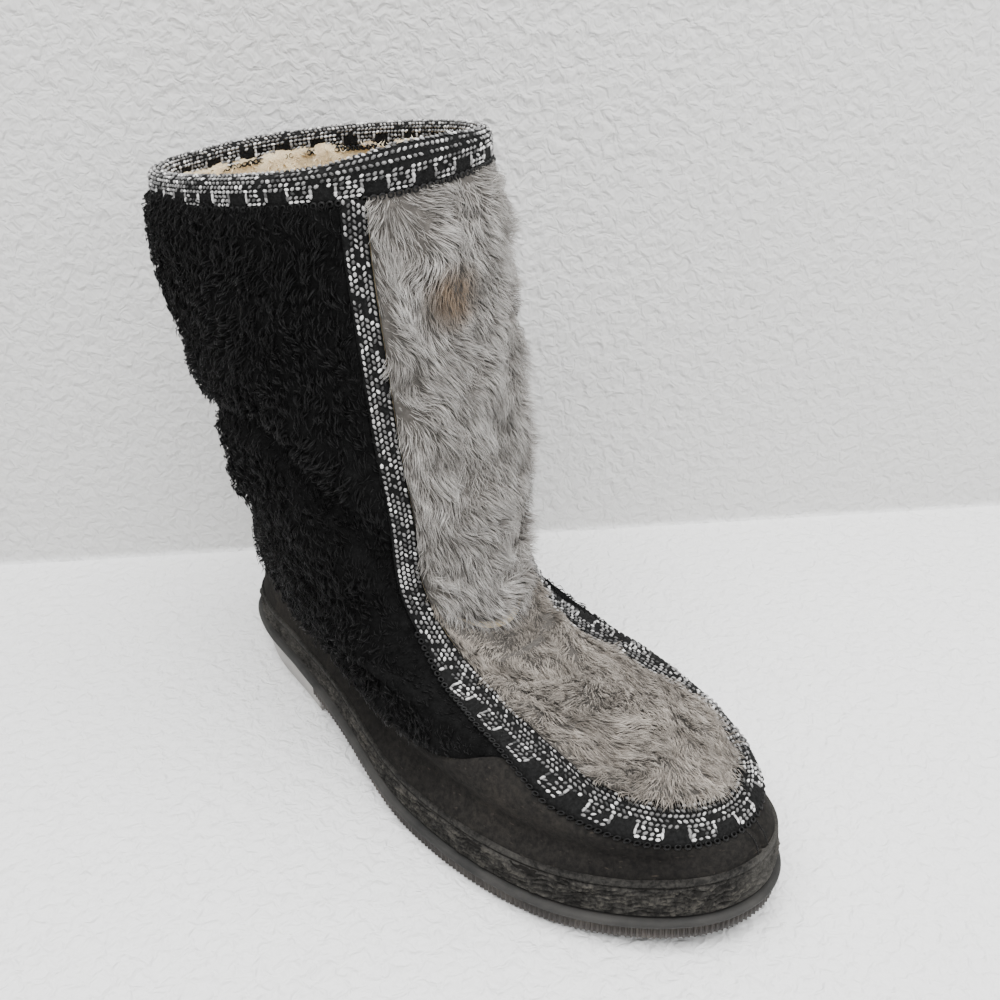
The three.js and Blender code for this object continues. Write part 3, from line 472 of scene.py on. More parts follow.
def grid_quads(rows, columns, closed=False, start=0):
    """Quads of a grid whose index is row * columns + column, closed across its columns or not."""
    j, i = np.meshgrid(np.arange(rows - 1), np.arange(columns if closed else columns - 1), indexing="ij")
    k = (i + 1) % columns
    quads = np.stack([j * columns + i, j * columns + k, (j + 1) * columns + k, (j + 1) * columns + i], -1)
    return quads.reshape(-1, 4) + start


def skin(name, outer, inner, uv=None, closed=False, flip=False):
    """A sheet with thickness: outer grid, inner grid reversed, and walls along the open borders."""
    rows, columns = outer.shape[:2]
    n = rows * columns
    faces = [grid_quads(rows, columns, closed), grid_quads(rows, columns, closed, n)[:, ::-1]]
    i = np.arange(columns if closed else columns - 1)
    k = (i + 1) % columns
    last = (rows - 1) * columns
    faces.append(np.stack([i, n + i, n + k, k], -1))
    faces.append(np.stack([last + k, n + last + k, n + last + i, last + i], -1))
    if not closed:
        j = np.arange(rows - 1) * columns
        faces.append(np.stack([j + columns, n + j + columns, n + j, j], -1))
        e = j + columns - 1
        faces.append(np.stack([e, n + e, n + e + columns, e + columns], -1))
    if flip:
        faces = [f[:, ::-1] for f in faces]
    points = np.concatenate([outer.reshape(-1, 3), inner.reshape(-1, 3)])
    both = None if uv is None else np.concatenate([uv.reshape(-1, 2)] * 2)
    return place_mesh(name, points, faces, both)


def finish_piece(piece, material, slot, *nodes):
    """Gives a piece its material, the body it rides on and the solids that it stands for."""
    piece.data.materials.clear()
    piece.data.materials.append(material)
    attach(piece, "root")
    if nodes:
        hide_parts(*nodes)
    return piece


def weld(piece, merge=True):
    """Merges doubled points, such as a spine or pole, and makes the faces point outwards."""
    work = bmesh.new()
    work.from_mesh(piece.data)
    if merge:
        bmesh.ops.remove_doubles(work, verts=work.verts, dist=1e-6)
        bmesh.ops.dissolve_degenerate(work, edges=work.edges, dist=1e-7)
    bmesh.ops.recalc_face_normals(work, faces=work.faces)
    work.to_mesh(piece.data)
    work.free()
    return piece


# %% [markdown]
# ## Finishes
# Each finish is a node graph in object coordinates or in the piece's own map: a colour that varies
# at the scale of the real stuff, and a bump for grain too fine to model. The helpers below only
# save typing; every graph is spelled out in the cell that makes its material.

# %% Node helpers


def new_material(name, **sockets):
    material = bpy.data.materials.new(name)
    material.use_nodes = True
    tree = material.node_tree
    shader = tree.nodes["Principled BSDF"]
    for key, value in sockets.items():
        shader.inputs[key.replace("_", " ")].default_value = value
    return material, tree, shader


def add(tree, kind, inputs=(), **settings):
    """Adds a node, sets its properties, and links or sets its inputs by index."""
    node = tree.nodes.new("ShaderNode" + kind)
    for key, value in settings.items():
        setattr(node, key, value)
    for index, value in enumerate(inputs):
        if value is None:
            continue
        if isinstance(value, bpy.types.NodeSocket):
            tree.links.new(value, node.inputs[index])
        else:
            node.inputs[index].default_value = value
    return node


def ramp(tree, factor, stops):
    """Colour ramp with stops of (place, colour)."""
    node = add(tree, "ValToRGB", [factor])
    items = node.color_ramp.elements
    while len(items) < len(stops):
        items.new(0.5)
    for item, (place, colour) in zip(items, stops):
        item.position = place
        item.color = (*colour, 1)
    return node.outputs[0]


def texture(tree, coordinate, scale, detail=4.0, roughness=0.55, distortion=0.0):
    node = add(tree, "TexNoise")
    tree.links.new(coordinate, node.inputs["Vector"])
    node.inputs["Scale"].default_value = scale
    node.inputs["Detail"].default_value = detail
    node.inputs["Roughness"].default_value = roughness
    node.inputs["Distortion"].default_value = distortion
    return node.outputs["Fac"]


def blend_colour(tree, factor, one, two, mode="MIX"):
    node = tree.nodes.new("ShaderNodeMix")
    node.data_type = "RGBA"
    node.blend_type = mode
    for socket, value in ((node.inputs[0], factor), (node.inputs[6], one), (node.inputs[7], two)):
        if isinstance(value, bpy.types.NodeSocket):
            tree.links.new(value, socket)
        else:
            socket.default_value = value if isinstance(value, float) else (*value, 1)
    return node.outputs[2]


def bump(tree, shader, height, strength, distance):
    node = add(tree, "Bump")
    node.inputs["Strength"].default_value = strength
    node.inputs["Distance"].default_value = distance
    tree.links.new(height, node.inputs["Height"])
    tree.links.new(node.outputs[0], shader.inputs["Normal"])
    return node


def coordinates(tree, which="Object"):
    return tree.nodes.new("ShaderNodeTexCoord").outputs[which]


# %% [markdown]
# ## The camera, floor and light
# The photograph was taken from the front and outer side, looking down at the boot. The camera's
# place comes from fitting the sole's outline on the floor. Soft light from a wide area overhead and
# a weaker one from the front give the shop-shelf look of the picture.

# %% Camera at the photograph's angle
AZIMUTH, ELEVATION, ROLL = (math.radians(a) for a in (-47.42254, 30.8108, -0.87031))
FOCAL_SHARE = 1.2996762
backward = np.array([math.sin(AZIMUTH) * math.cos(ELEVATION), -math.cos(AZIMUTH) * math.cos(ELEVATION),
                     math.sin(ELEVATION)])
right = unit(np.cross(-backward, [0, 0, 1.0]))
upward = np.cross(right, -backward)
turned_right = right * math.cos(ROLL) + upward * math.sin(ROLL)
turned_up = upward * math.cos(ROLL) - right * math.sin(ROLL)
camera_data = bpy.data.cameras.new("camera")
camera_data.sensor_width = 36
camera_data.sensor_fit = "HORIZONTAL"
camera_data.lens = 36 * FOCAL_SHARE
camera_data.clip_start = 0.01
camera = bpy.data.objects.new("camera", camera_data)
bpy.context.scene.collection.objects.link(camera)
place = (np.array([-275.226, -271.4722, 348.4563]) + SHIFT) / 1000
camera.matrix_world = Matrix([
    [turned_right[i], turned_up[i], backward[i], place[i]] for i in range(3)] + [[0, 0, 0, 1]])
bpy.context.scene.camera = camera
print("camera at", place.round(4))

# %% Floor, wall and lamps
spot = np.array([0.119, 0.0907, 0.0])
beside = unit(np.array([-0.3688, 0.3399, 0.0]))
away = np.array([beside[1], -beside[0], 0.0])
profile = [(-1.8, 0.0), (0.0, 0.0), (0.0015, 0.0005), (0.002, 0.002), (0.002, 1.6)]
stage_points = np.array([[spot + away * a + beside * s + np.array([0, 0, h]) for s in (-2.0, 2.0)]
                         for a, h in profile])
stage = place_mesh("backdrop", stage_points * 1000 - SHIFT, [grid_quads(len(profile), 2)], smooth=False)
stage_material, tree, shader = new_material("pale_board", Roughness=0.75)
where = coordinates(tree)
grain = texture(tree, where, 210, 2, 0.5, 0.6)
rise = add(tree, "SeparateXYZ", [where]).outputs[2]
# the upright part is painted darker than the floor: painted shade, for the overhead light that reaches the
# wall less
colour = ramp(tree, rise, [(0.0, (0.83, 0.83, 0.825)), (0.004, (0.62, 0.615, 0.603))])
tree.links.new(colour, shader.inputs["Base Color"])
bump(tree, shader, grain, 0.7, 0.0035)
stage.data.materials.append(stage_material)


def lamp(name, position, target, size, watts, colour=(1, 1, 1)):
    data = bpy.data.lights.new(name, "AREA")
    data.shape = "DISK"
    data.size, data.energy, data.color = size, watts, colour
    item = bpy.data.objects.new(name, data)
    item.matrix_world = Matrix.Translation(position) @ (
        Vector(target) - Vector(position)).to_track_quat("-Z", "Y").to_matrix().to_4x4()
    bpy.context.scene.collection.objects.link(item)


middle = (0, 0, 0.1)
lamp("overhead", tuple(np.array([-0.25, -0.1, 1.25])), middle, 1.3, 44)
lamp("front_fill", tuple(backward * 1.5 + right * 0.5), middle, 1.0, 8)
lamp("rim", tuple(beside * -0.8 - away * 0.2 + np.array([0, 0, 0.7])), middle, 0.6, 5)
world = bpy.data.worlds.new("room")
bpy.context.scene.world = world
world.use_nodes = True
world.node_tree.nodes["Background"].inputs[0].default_value = (0.95, 0.97, 1, 1)
world.node_tree.nodes["Background"].inputs[1].default_value = 0.5

# %% [markdown]
# ## Sole lip
# On the real boot this is a thin plate of darker rubber that stands proud all round, like a welt.
# A lathe or bevelled curve could not follow the toe spring, so a rounded profile is carried round
# the sole's outline, and the top and bottom close on the sole's own middle line.

# %% Plates closed over a middle line


def round_plate(name, ways, profile_points, spine_low, spine_high):
    """A profile of (inset, height function) carried round the outline, closed along the spine that
    runs midway between points at the same station on both sides."""
    rows = []
    for inset, height in [(profile_points[0][0], spine_low), *profile_points,
                          (profile_points[-1][0], spine_high)]:
        flat = outline_at(ways, inset)
        rows.append(np.concatenate([flat, height(flat[:, 1])[:, None]], 1))
    for row, height in ((0, spine_low), (-1, spine_high)):
        mirror = rows[row][(-np.arange(len(ways))) % len(ways)]
        middle_line = (rows[row] + mirror) / 2
        middle_line[:, 2] = height(middle_line[:, 1])
        rows[row] = middle_line
    points = np.stack(rows)
    return weld(place_mesh(name, points, [grid_quads(len(rows), len(ways), True)]))


ways = np.arange(480) / 480
arc = [(LIP / 2 * (1 - math.sin(a)), math.cos(a)) for a in np.linspace(0.15, math.pi - 0.15, 9)]
lip_profile = [(inset, lambda y, c=c: lip_bottom(y) + LIP / 2 * (1 - c)) for inset, c in arc]
lip = round_plate("lip", ways, lip_profile, lip_bottom, sole_top)
lip_rubber, tree, shader = new_material("lip_rubber", Roughness=0.75, Specular_IOR_Level=0.15)
where = coordinates(tree)
colour = ramp(tree, texture(tree, where, 60, 5), [
    (0.3, (0.018, 0.018, 0.0175)), (0.75, (0.05, 0.048, 0.045))])
tree.links.new(colour, shader.inputs["Base Color"])
bump(tree, shader, texture(tree, where, 900, 3), 0.2, 0.0002)
finish_piece(lip, lip_rubber, "lip_rubber", "sole_lip")

# %% [markdown]
# ## Tread and heel block
# Both are clear gum rubber. They could be cut from one plate, but the real heel is a separate paler
# block with an upright breast, so each is a run of cross sections between the two sides of the
# outline. The fine ribs round the side come from the outline itself moving in and out.

# %% Blocks of cross sections
BREAST_Y = half - HEEL_LENGTH
fine = np.linspace(0, 0.5, 6001)
breast_way = float(fine[np.argmax(outline_at(fine)[:, 1] < BREAST_Y)])


def tread_bottom(y):
    ahead = 0.5 - y / LENGTH
    toe = TOE_SPRING * np.clip((ahead - 0.62) / 0.38, 0, 1) ** 2
    return np.maximum(toe, lip_bottom(y) - FOREFOOT_HEIGHT)


def block(name, stations, inset, low, high, rib=0.0, rib_pitch=1.9, groove=1.6, corner=1.2):
    """Cross sections between the two sides of the outline. Ribs move the sides in by a rounded
    wave of the length round the outline; grooves lift the bottom in a wave along the boot."""
    sides = []
    for ways_here in (stations, 1 - stations):
        edge = outline_at(ways_here, inset)
        run = np.concatenate([[0], np.cumsum(np.hypot(*np.diff(edge, axis=0).T))])
        wave = rib * (0.5 - 0.5 * np.cos(2 * np.pi * run / rib_pitch))
        sides.append((outline_at(ways_here, inset + wave), outline_at(ways_here, inset + corner),
                      outline_at(ways_here, inset + rib)))
    (left, left_in, left_top), (right_, right_in, right_top) = sides
    y = (left[:, 1] + right_[:, 1]) / 2
    bottom, top = low(y), high(y)
    cut = groove * (ease((np.cos(2 * np.pi * y / 6.5) - 0.15) / 0.3))
    columns = []
    put = lambda flat, z: columns.append(np.concatenate([flat, z[:, None]], 1))
    put(left_top, top)
    for share in (0.92, 0.5, 0.12):
        put(left, mix(bottom, top, share))
    put(left_in, bottom)
    for share in (0.1, 0.3, 0.5, 0.7, 0.9):
        put(mix(left_in, right_in, share), np.minimum(bottom + cut, top - 0.5))
    put(right_in, bottom)
    for share in (0.12, 0.5, 0.92):
        put(right_, mix(bottom, top, share))
    put(right_top, top)
    points = np.stack(columns, 1)
    rows, across = points.shape[:2]
    caps = [np.arange(across)[None, ::-1], (np.arange(across) + (rows - 1) * across)[None]]
    return weld(place_mesh(name, points, [grid_quads(rows, across, True), *caps], smooth=True))


tread_stations = mix(breast_way + 0.0016, 0.4999, np.linspace(0, 1, 620))
tread = block("tread", tread_stations, TREAD_INSET, tread_bottom,
              lambda y: lip_bottom(y) - 0.05, rib=1.1)
heel_stations = mix(0.0001, breast_way - 0.0012, np.linspace(0, 1, 160))
heel = block("heel", heel_stations, HEEL_INSET, lambda y: 0 * y, lambda y: lip_bottom(y) - 0.05,
             rib=0.0, corner=0.9)
gum, tree, shader = new_material("gum_rubber", Roughness=0.45, Subsurface_Weight=0.1,
                                 Specular_IOR_Level=0.3)
shader.inputs["Subsurface Radius"].default_value = (0.004, 0.003, 0.002)
where = coordinates(tree)
# very dark: the gum's own dark tone plus painted shade, for the shadow the lip casts on the tread
colour = ramp(tree, texture(tree, where, 55, 6), [
    (0.25, (0.012, 0.0095, 0.008)), (0.5, (0.028, 0.023, 0.0195)), (0.8, (0.085, 0.073, 0.062))])
tree.links.new(colour, shader.inputs["Base Color"])
bump(tree, shader, texture(tree, where, 500, 4), 0.35, 0.0004)
finish_piece(tread, gum, "gum_rubber", "outsole_forefoot")
heel_rubber, tree, shader = new_material("heel_rubber", Roughness=0.38, Subsurface_Weight=0.3,
                                         Transmission_Weight=0.15, IOR=1.45)
shader.inputs["Subsurface Radius"].default_value = (0.004, 0.004, 0.003)
where = coordinates(tree)
colour = ramp(tree, texture(tree, where, 40, 5), [(0.3, (0.2, 0.19, 0.178)), (0.75, (0.38, 0.36, 0.335))])
tree.links.new(colour, shader.inputs["Base Color"])
bump(tree, shader, texture(tree, where, 300, 4), 0.25, 0.0004)
finish_piece(heel, heel_rubber, "heel_rubber", "heel_block")

# %% [markdown]
# ## Rubber band
# The foxing band is glued round the bottom of the upper. Its side is moulded like wood grain: long
# wavy ridges that swell and fork. A bump would stay flat at the silhouette, so the ridges are in
# the mesh: a sine of the height, warped by slow noise along the band.

# %% The band with its wavy grain
band_ways = np.arange(960) / 960
edge = outline_at(band_ways, BAND_STEP)
run = np.concatenate([[0], np.cumsum(np.hypot(*np.diff(edge, axis=0).T))])
run_total = run[-1] + np.hypot(*(edge[0] - edge[-1]))


def grain_height(s, z):
    """Ridges: a sine of the height, its phase shifted by slow and fast noise along the band."""
    warp = 1.5 * noise(s / 10, z / 14, 1) + 0.6 * noise(s / 3.4, z / 5, 2)
    return 0.5 + 0.5 * np.sin(2 * np.pi * (z / 2.1 + warp)) * (0.7 + 0.3 * noise(s / 6, z / 3, 3))


shares = np.concatenate([np.linspace(0, 0.78, 18), [0.8, 0.84, 0.9, 0.96, 1.0]])
rows, reliefs = [], []
seam_fade = np.minimum(1, np.minimum(run, run_total - run) / 12)
for share in shares:
    bottom = lambda y: sole_top(y) + 0.05 + GROOVE
    flat = outline_at(band_ways, BAND_STEP)
    z = mix(bottom(flat[:, 1]), band_top(flat[:, 1]), share)
    tall = share * BAND_TOE
    side_by = mix(grain_height(run, tall), grain_height(run - run_total, tall),
                  ease((run - run_total + 14) / 14))
    if share < 0.79:
        relief = 1.25 * side_by + 0.55 * layered(run / 4, tall / 4 + 9, 4) * seam_fade - 0.7
        relief *= ease(share / 0.06) * ease((0.79 - share) / 0.05)
    else:
        relief = (-0.25 if share > 0.81 else -0.8) + 0.12 * noise(run / 7, 0 * run, 6)
        if share > 0.95:
            relief = relief - 0.6 * (share - 0.95) / 0.05
    flat = outline_at(band_ways, BAND_STEP - relief)
    reliefs.append(relief + 0 * run)
    rows.append(np.concatenate([flat, z[:, None]], 1))
outer = np.stack(rows)
inner_rows = []
for share in shares:
    flat = outline_at(band_ways, BAND_STEP + BAND_WALL - 0.1)
    z = mix(sole_top(flat[:, 1]) + 0.05, band_top(flat[:, 1]), share)
    inner_rows.append(np.concatenate([flat, z[:, None]], 1))
groove_flat = outline_at(band_ways, BAND_STEP + BAND_WALL / 2)
groove_rows = [np.concatenate([groove_flat, (sole_top(groove_flat[:, 1]) + 0.05 + g)[:, None]], 1)
               for g in (0.0, GROOVE)]
outer = np.concatenate([np.stack(groove_rows), outer])
inner = np.concatenate([np.stack([inner_rows[0]] * 2), np.stack(inner_rows)])
depth_map = np.stack([reliefs[0] * 0 - 1.2] * 2 + reliefs)
# the map's second number carries the relief depth, which the band's finish turns into painted shade in the
# grooves and painted light on the ridges
band_uv = np.stack([np.broadcast_to(run / 100, depth_map.shape), 0.5 + depth_map / 3], -1)
band = skin("band", outer, inner, band_uv, closed=True)
weld(band)
band_rubber, tree, shader = new_material("band_rubber", Roughness=0.85, Specular_IOR_Level=0.12)
where = coordinates(tree)
dust = texture(tree, where, 24, 6, 0.65)
split = add(tree, "SeparateXYZ", [coordinates(tree, "UV")])
# painted shade in the grooves and in the groove above the lip, painted light on the raised ridges
relief_shade_and_light = ramp(tree, split.outputs[1], [
    (0.3, (0.5, 0.5, 0.5)), (0.5, (0.95, 0.95, 0.95)), (0.7, (1.6, 1.57, 1.5))])
colour = ramp(tree, texture(tree, where, 140, 6, 0.65), [
    (0.3, (0.024, 0.0232, 0.022)), (0.8, (0.047, 0.045, 0.042))])
colour = blend_colour(tree, 1.0, colour, relief_shade_and_light, "MULTIPLY")
wrinkle = ramp(tree, texture(tree, where, 620, 4, 0.6, 0.4), [
    (0.38, (0.45, 0.45, 0.45)), (0.62, (1.45, 1.42, 1.36))])
colour = blend_colour(tree, 1.0, colour, wrinkle, "MULTIPLY")
colour = blend_colour(tree, ramp(tree, dust, [(0.5, (0, 0, 0)), (0.8, (0.6, 0.6, 0.6))]), colour,
                      (0.105, 0.1, 0.09))
tree.links.new(colour, shader.inputs["Base Color"])
bump(tree, shader, texture(tree, where, 620, 5, 0.65, 0.4), 1.0, 0.0014)
finish_piece(band, band_rubber, "band_rubber", "foxing_band")

# %% [markdown]
# ## Nubuck foxing
# Black nubuck wraps the bottom of the upper like a mudguard, high at the toe and with a tip at the
# heel. It lies close on the last, so it is a skin on the upper's own function, with a rolled top
# edge and a raised seam in the middle of the toe.

# %% The leather skin
LEATHER_ROWS = 16
TOE_ROUND = 205.0  # millimetres for the whole way round, at the pace it has at the toe
v = np.arange(600) / 600
top = leather_top(v)
share = np.linspace(0, 1, LEATHER_ROWS)[:, None]
U, V = mix(0.62, top[None], share), np.broadcast_to(v, (LEATHER_ROWS, len(v)))
seam_away = (V - 0.5) * TOE_ROUND
seam = 0.22 * np.exp(-((np.abs(seam_away) - 1.1) / 0.8) ** 2) - 0.9 * np.exp(-(seam_away / 0.4) ** 2)
base = on_upper(U, V)
roll = np.minimum(1, (1 - share) / 0.04 + 0.25)
height = GAP + LEATHER * roll + 0.25 * layered(base[..., 1] / 14, base[..., 0] / 14 + base[..., 2] / 9, 8)
height = height + seam
outer = off_upper(U, V, height)
inner = off_upper(U, V, np.full(U.shape, 0.05))
leather = skin("nubuck", outer, inner, uv=np.stack([V * 4, share + 0 * V], -1), closed=True, flip=True)
weld(leather)
nubuck, tree, shader = new_material("nubuck", Roughness=0.95, Specular_IOR_Level=0.04)
where = coordinates(tree)
worn = texture(tree, where, 16, 6, 0.6)
colour = ramp(tree, worn, [
    (0.3, (0.009, 0.0087, 0.0085)), (0.55, (0.015, 0.0144, 0.0138)), (0.8, (0.03, 0.027, 0.024))])
dusty = ramp(tree, texture(tree, where, 520, 3, 0.7), [(0.35, (0.7, 0.7, 0.7)), (0.65, (1.35, 1.3, 1.22))])
colour = blend_colour(tree, 1.0, colour, dusty, "MULTIPLY")
specks = ramp(tree, texture(tree, where, 420, 2, 0.5), [(0.7, (0, 0, 0)), (0.8, (0.16, 0.16, 0.16))])
colour = blend_colour(tree, specks, colour, (0.12, 0.1, 0.085))
scratch = add(tree, "TexNoise")
stretch = add(tree, "Mapping", [where])
stretch.inputs["Scale"].default_value = (14, 60, 200)
tree.links.new(stretch.outputs[0], scratch.inputs["Vector"])
scratch.inputs["Detail"].default_value = 3
marks = ramp(tree, scratch.outputs["Fac"], [(0.66, (0, 0, 0)), (0.8, (0.22, 0.22, 0.22))])
colour = blend_colour(tree, marks, colour, (0.16, 0.13, 0.1))
tree.links.new(colour, shader.inputs["Base Color"])
bump(tree, shader, texture(tree, where, 900, 5, 0.7), 0.6, 0.0004)
finish_piece(leather, nubuck, "nubuck", "leather_foxing")

# %% [markdown]
# ## The shell and its fleece
# Inside, the boot is lined with cream fleece. Down in the shaft only soft lumps show, so the inner
# wall is a skin with rolling unevenness, and short curls near the rim are added as fur below.

# %% The upper's wall
wall_u = np.concatenate([np.linspace(0, 7, 22), np.linspace(7.2, RIM, 36)])
v = np.arange(200) / 200
U, V = np.meshgrid(wall_u, v, indexing="ij")
base = on_upper(U, V)
way_mm = np.cos(2 * np.pi * V) * 9
lumps = layered(way_mm, np.sin(2 * np.pi * V) * 9 + base[..., 2] / 6, 12)
inner = off_upper(U, V, -WALL - (2.2 + 1.4 * lumps) * ease((RIM - U) / 0.25) * ease(U / 0.5))
outer = off_upper(U, V, np.zeros(U.shape))
wall = skin("lining_wall", outer, inner, closed=True, flip=True)
weld(wall)
fleece, tree, shader = new_material("fleece", Roughness=0.95, Sheen_Weight=0.6, Sheen_Roughness=0.4)
where = coordinates(tree)
colour = ramp(tree, texture(tree, where, 120, 6, 0.7), [
    (0.3, (0.68, 0.5, 0.28)), (0.5, (0.88, 0.72, 0.46)), (0.75, (0.95, 0.85, 0.62))])
tree.links.new(colour, shader.inputs["Base Color"])
bump(tree, shader, texture(tree, where, 380, 6, 0.75), 0.9, 0.0015)
finish_piece(wall, fleece, "lining", "upper")
pad_ways = np.arange(160) / 160
pad_inset = UPPER_INSET + WALL + GAP
pad = round_plate("insole_pad", pad_ways, [
    (pad_inset, lambda y: sole_top(y) + GAP), (pad_inset, lambda y: sole_top(y) + GAP + INSOLE - 0.6),
    (pad_inset + 0.8, lambda y: sole_top(y) + GAP + INSOLE)],
    lambda y: sole_top(y) + GAP, lambda y: sole_top(y) + GAP + INSOLE)
finish_piece(pad, fleece, "felt", "insole")

# %% [markdown]
# ## Fur as thousands of tapered hairs
# Blender has a hair system, but the part has to be a mesh that can be exported. So each hair is a
# closed three-sided spike with one bend, ten triangles, and numpy makes all the hairs of a piece at
# once. Roots are spread evenly by area, and the tips of a tuft lean together, as combed fur does.

# %% Spreading roots and growing hairs


def spread(place, count, source, cells=90, weight=None):
    """Even random places on a patch: cells drawn by their area, then a random point in each."""
    a = np.linspace(0, 1, cells + 1)
    A, Bq = np.meshgrid(a, a, indexing="ij")
    P = on_upper(*place(A, Bq))
    area = np.linalg.norm(np.cross(P[1:, :-1] - P[:-1, :-1], P[:-1, 1:] - P[:-1, :-1]), axis=-1)
    if weight is not None:
        area = area * weight((A[:-1, :-1] + 0.5 / cells), (Bq[:-1, :-1] + 0.5 / cells))
    pick = source.choice(area.size, count, p=area.ravel() / area.sum())
    i, j = np.divmod(pick, cells)
    return (i + source.random(count)) / cells, (j + source.random(count)) / cells


def tuft_centres(points, size, source):
    """Labels points by a jittered box of the given size and returns each one's tuft centre."""
    jitter = np.stack([noise(points[:, k - 1] / size, points[:, k - 2] / size, 20 + k) for k in range(3)], -1)
    key = np.floor(points / size + 0.45 * jitter).astype(np.int64)
    code = key[:, 0] * 1000003 + key[:, 1] * 1009 + key[:, 2]
    _, label = np.unique(code, return_inverse=True)
    label = label.ravel()
    total = np.bincount(label)[:, None]
    centres = np.stack([np.bincount(label, points[:, k]) for k in range(3)], -1) / total
    return label, centres


def hairs(name, root, out, flow, length, radius, lift, lay, tuft, gather, source):
    """Spikes with three points each: root, bend and tip. The first half rises at the angle lift,
    the second at the angle lay, both turned towards flow; tips move towards their tuft's tip."""
    n = len(root)
    out, flow = unit(out), unit(flow - out * dot(flow, out)[:, None])
    first = unit(out * np.sin(lift)[:, None] + flow * np.cos(lift)[:, None])
    second = unit(out * np.sin(lay)[:, None] + flow * np.cos(lay)[:, None])
    bend = root + first * (length * 0.5)[:, None]
    tip = bend + second * (length * 0.5)[:, None]
    label, _ = tuft_centres(root, tuft, source)
    count = np.bincount(label)[:, None]
    together = np.stack([np.bincount(label, tip[:, k]) for k in range(3)], -1) / count
    middle_of = np.stack([np.bincount(label, bend[:, k]) for k in range(3)], -1) / count
    tip = mix(tip, together[label], gather)
    bend = mix(bend, middle_of[label], gather * 0.35)
    side = unit(np.cross(out, flow))
    ring = [(side * math.cos(a), out * math.sin(a)) for a in (0.5, 2.6, 4.7)]
    points = np.empty((n, 7, 3))
    for k, (s, o) in enumerate(ring):
        points[:, k] = root + (s + o) * radius[:, None]
        points[:, 3 + k] = bend + (s + o) * (radius * 0.8)[:, None]
    points[:, 6] = tip
    start = (np.arange(n) * 7)[:, None]
    quads = np.concatenate([start + np.array([k, (k + 1) % 3, 3 + (k + 1) % 3, 3 + k]) for k in range(3)])
    tris = np.concatenate([start + np.array([3 + k, 3 + (k + 1) % 3, 6]) for k in range(3)]
                          + [start + np.array([2, 1, 0])])
    tone = source.random(len(count))[label] * 0.5 + source.random(n) * 0.5
    uv = np.empty((n, 7, 2))
    uv[..., 0] = tone[:, None]
    # the map's second number runs from root to tip; the fur finishes darken its root end as painted shade
    # among the hairs
    uv[:, :3, 1], uv[:, 3:6, 1], uv[:, 6, 1] = 0.02, 0.55, 0.98
    return place_mesh(name, points, [quads, tris], uv)


def fur_material(name, dark, mid, light, tint=None, **sockets):
    """Hair colour from root to tip along the map's second number, darkened towards the root as painted shade
    among the hairs, toned by its first number.
    """
    material, tree, shader = new_material(name, **sockets)
    split = add(tree, "SeparateXYZ", [coordinates(tree, "UV")])
    # darker at the root: painted shade among the hairs, over the hair's own colour
    along = ramp(tree, split.outputs[1], [(0.0, dark), (0.5, mid), (1.0, light)])
    tone = ramp(tree, split.outputs[0], [(0.1, (0.5, 0.49, 0.48)), (0.9, (1.12, 1.12, 1.12))])
    colour = blend_colour(tree, 1.0, along, tone, "MULTIPLY")
    where = coordinates(tree)
    patches = ramp(tree, texture(tree, where, 75, 4, 0.6), [
        (0.32, (0.55, 0.54, 0.53)), (0.62, (1.1, 1.1, 1.1))])
    colour = blend_colour(tree, 1.0, colour, patches, "MULTIPLY")
    for centre, size, stain in tint or ():
        move = add(tree, "Mapping", [where])
        move.inputs["Location"].default_value = [-c / s for c, s in zip(centre, size)]
        move.inputs["Scale"].default_value = [1 / s for s in size]
        ball = add(tree, "TexGradient", [move.outputs[0]], gradient_type="SPHERICAL")
        amount = ramp(tree, ball.outputs["Fac"], [(0.0, (0, 0, 0)), (0.6, (0.85, 0.85, 0.85))])
        colour = blend_colour(tree, amount, colour, blend_colour(tree, 1.0, colour, stain, "MULTIPLY"))
    tree.links.new(colour, shader.inputs["Base Color"])
    return material


# %% [markdown]
# ## The vamp and the flap
# The moccasin plug over the toes and the panel down the shaft are long grey faux fur, silver at the tip,
# with painted shade darkening it towards the root. Under the hairs lies a dense felt of short fibre, a skin
# on the upper, coloured near black as painted shade deep in the fur.

# %% Felt under the fur


def surface_height(a, b, thick, seed):
    """Height of the felt: thick, thinner towards its border, with soft lumps of layered noise."""
    border = ease(np.minimum(np.minimum(a, 1 - a), np.minimum(b, 1 - b)) / 0.08)
    return 0.4 + (thick - 0.4) * mix(0.35, 1, border) + 0.5 * layered(a * 7, b * 14, seed)


def felt(name, place, thick, rows, columns, seed):
    """A skin over a patch, thinner at its border, with soft lumps and the boot's creases."""
    a, b = np.meshgrid(np.linspace(0, 1, columns), np.linspace(0, 1, rows))
    U, V = place(a, b)
    height = np.maximum(0.5, surface_height(a, b, thick, seed) - creased(on_upper(U, V)))
    return skin(name, off_upper(U, V, height), off_upper(U, V, np.full(U.shape, 0.3)), flip=True)


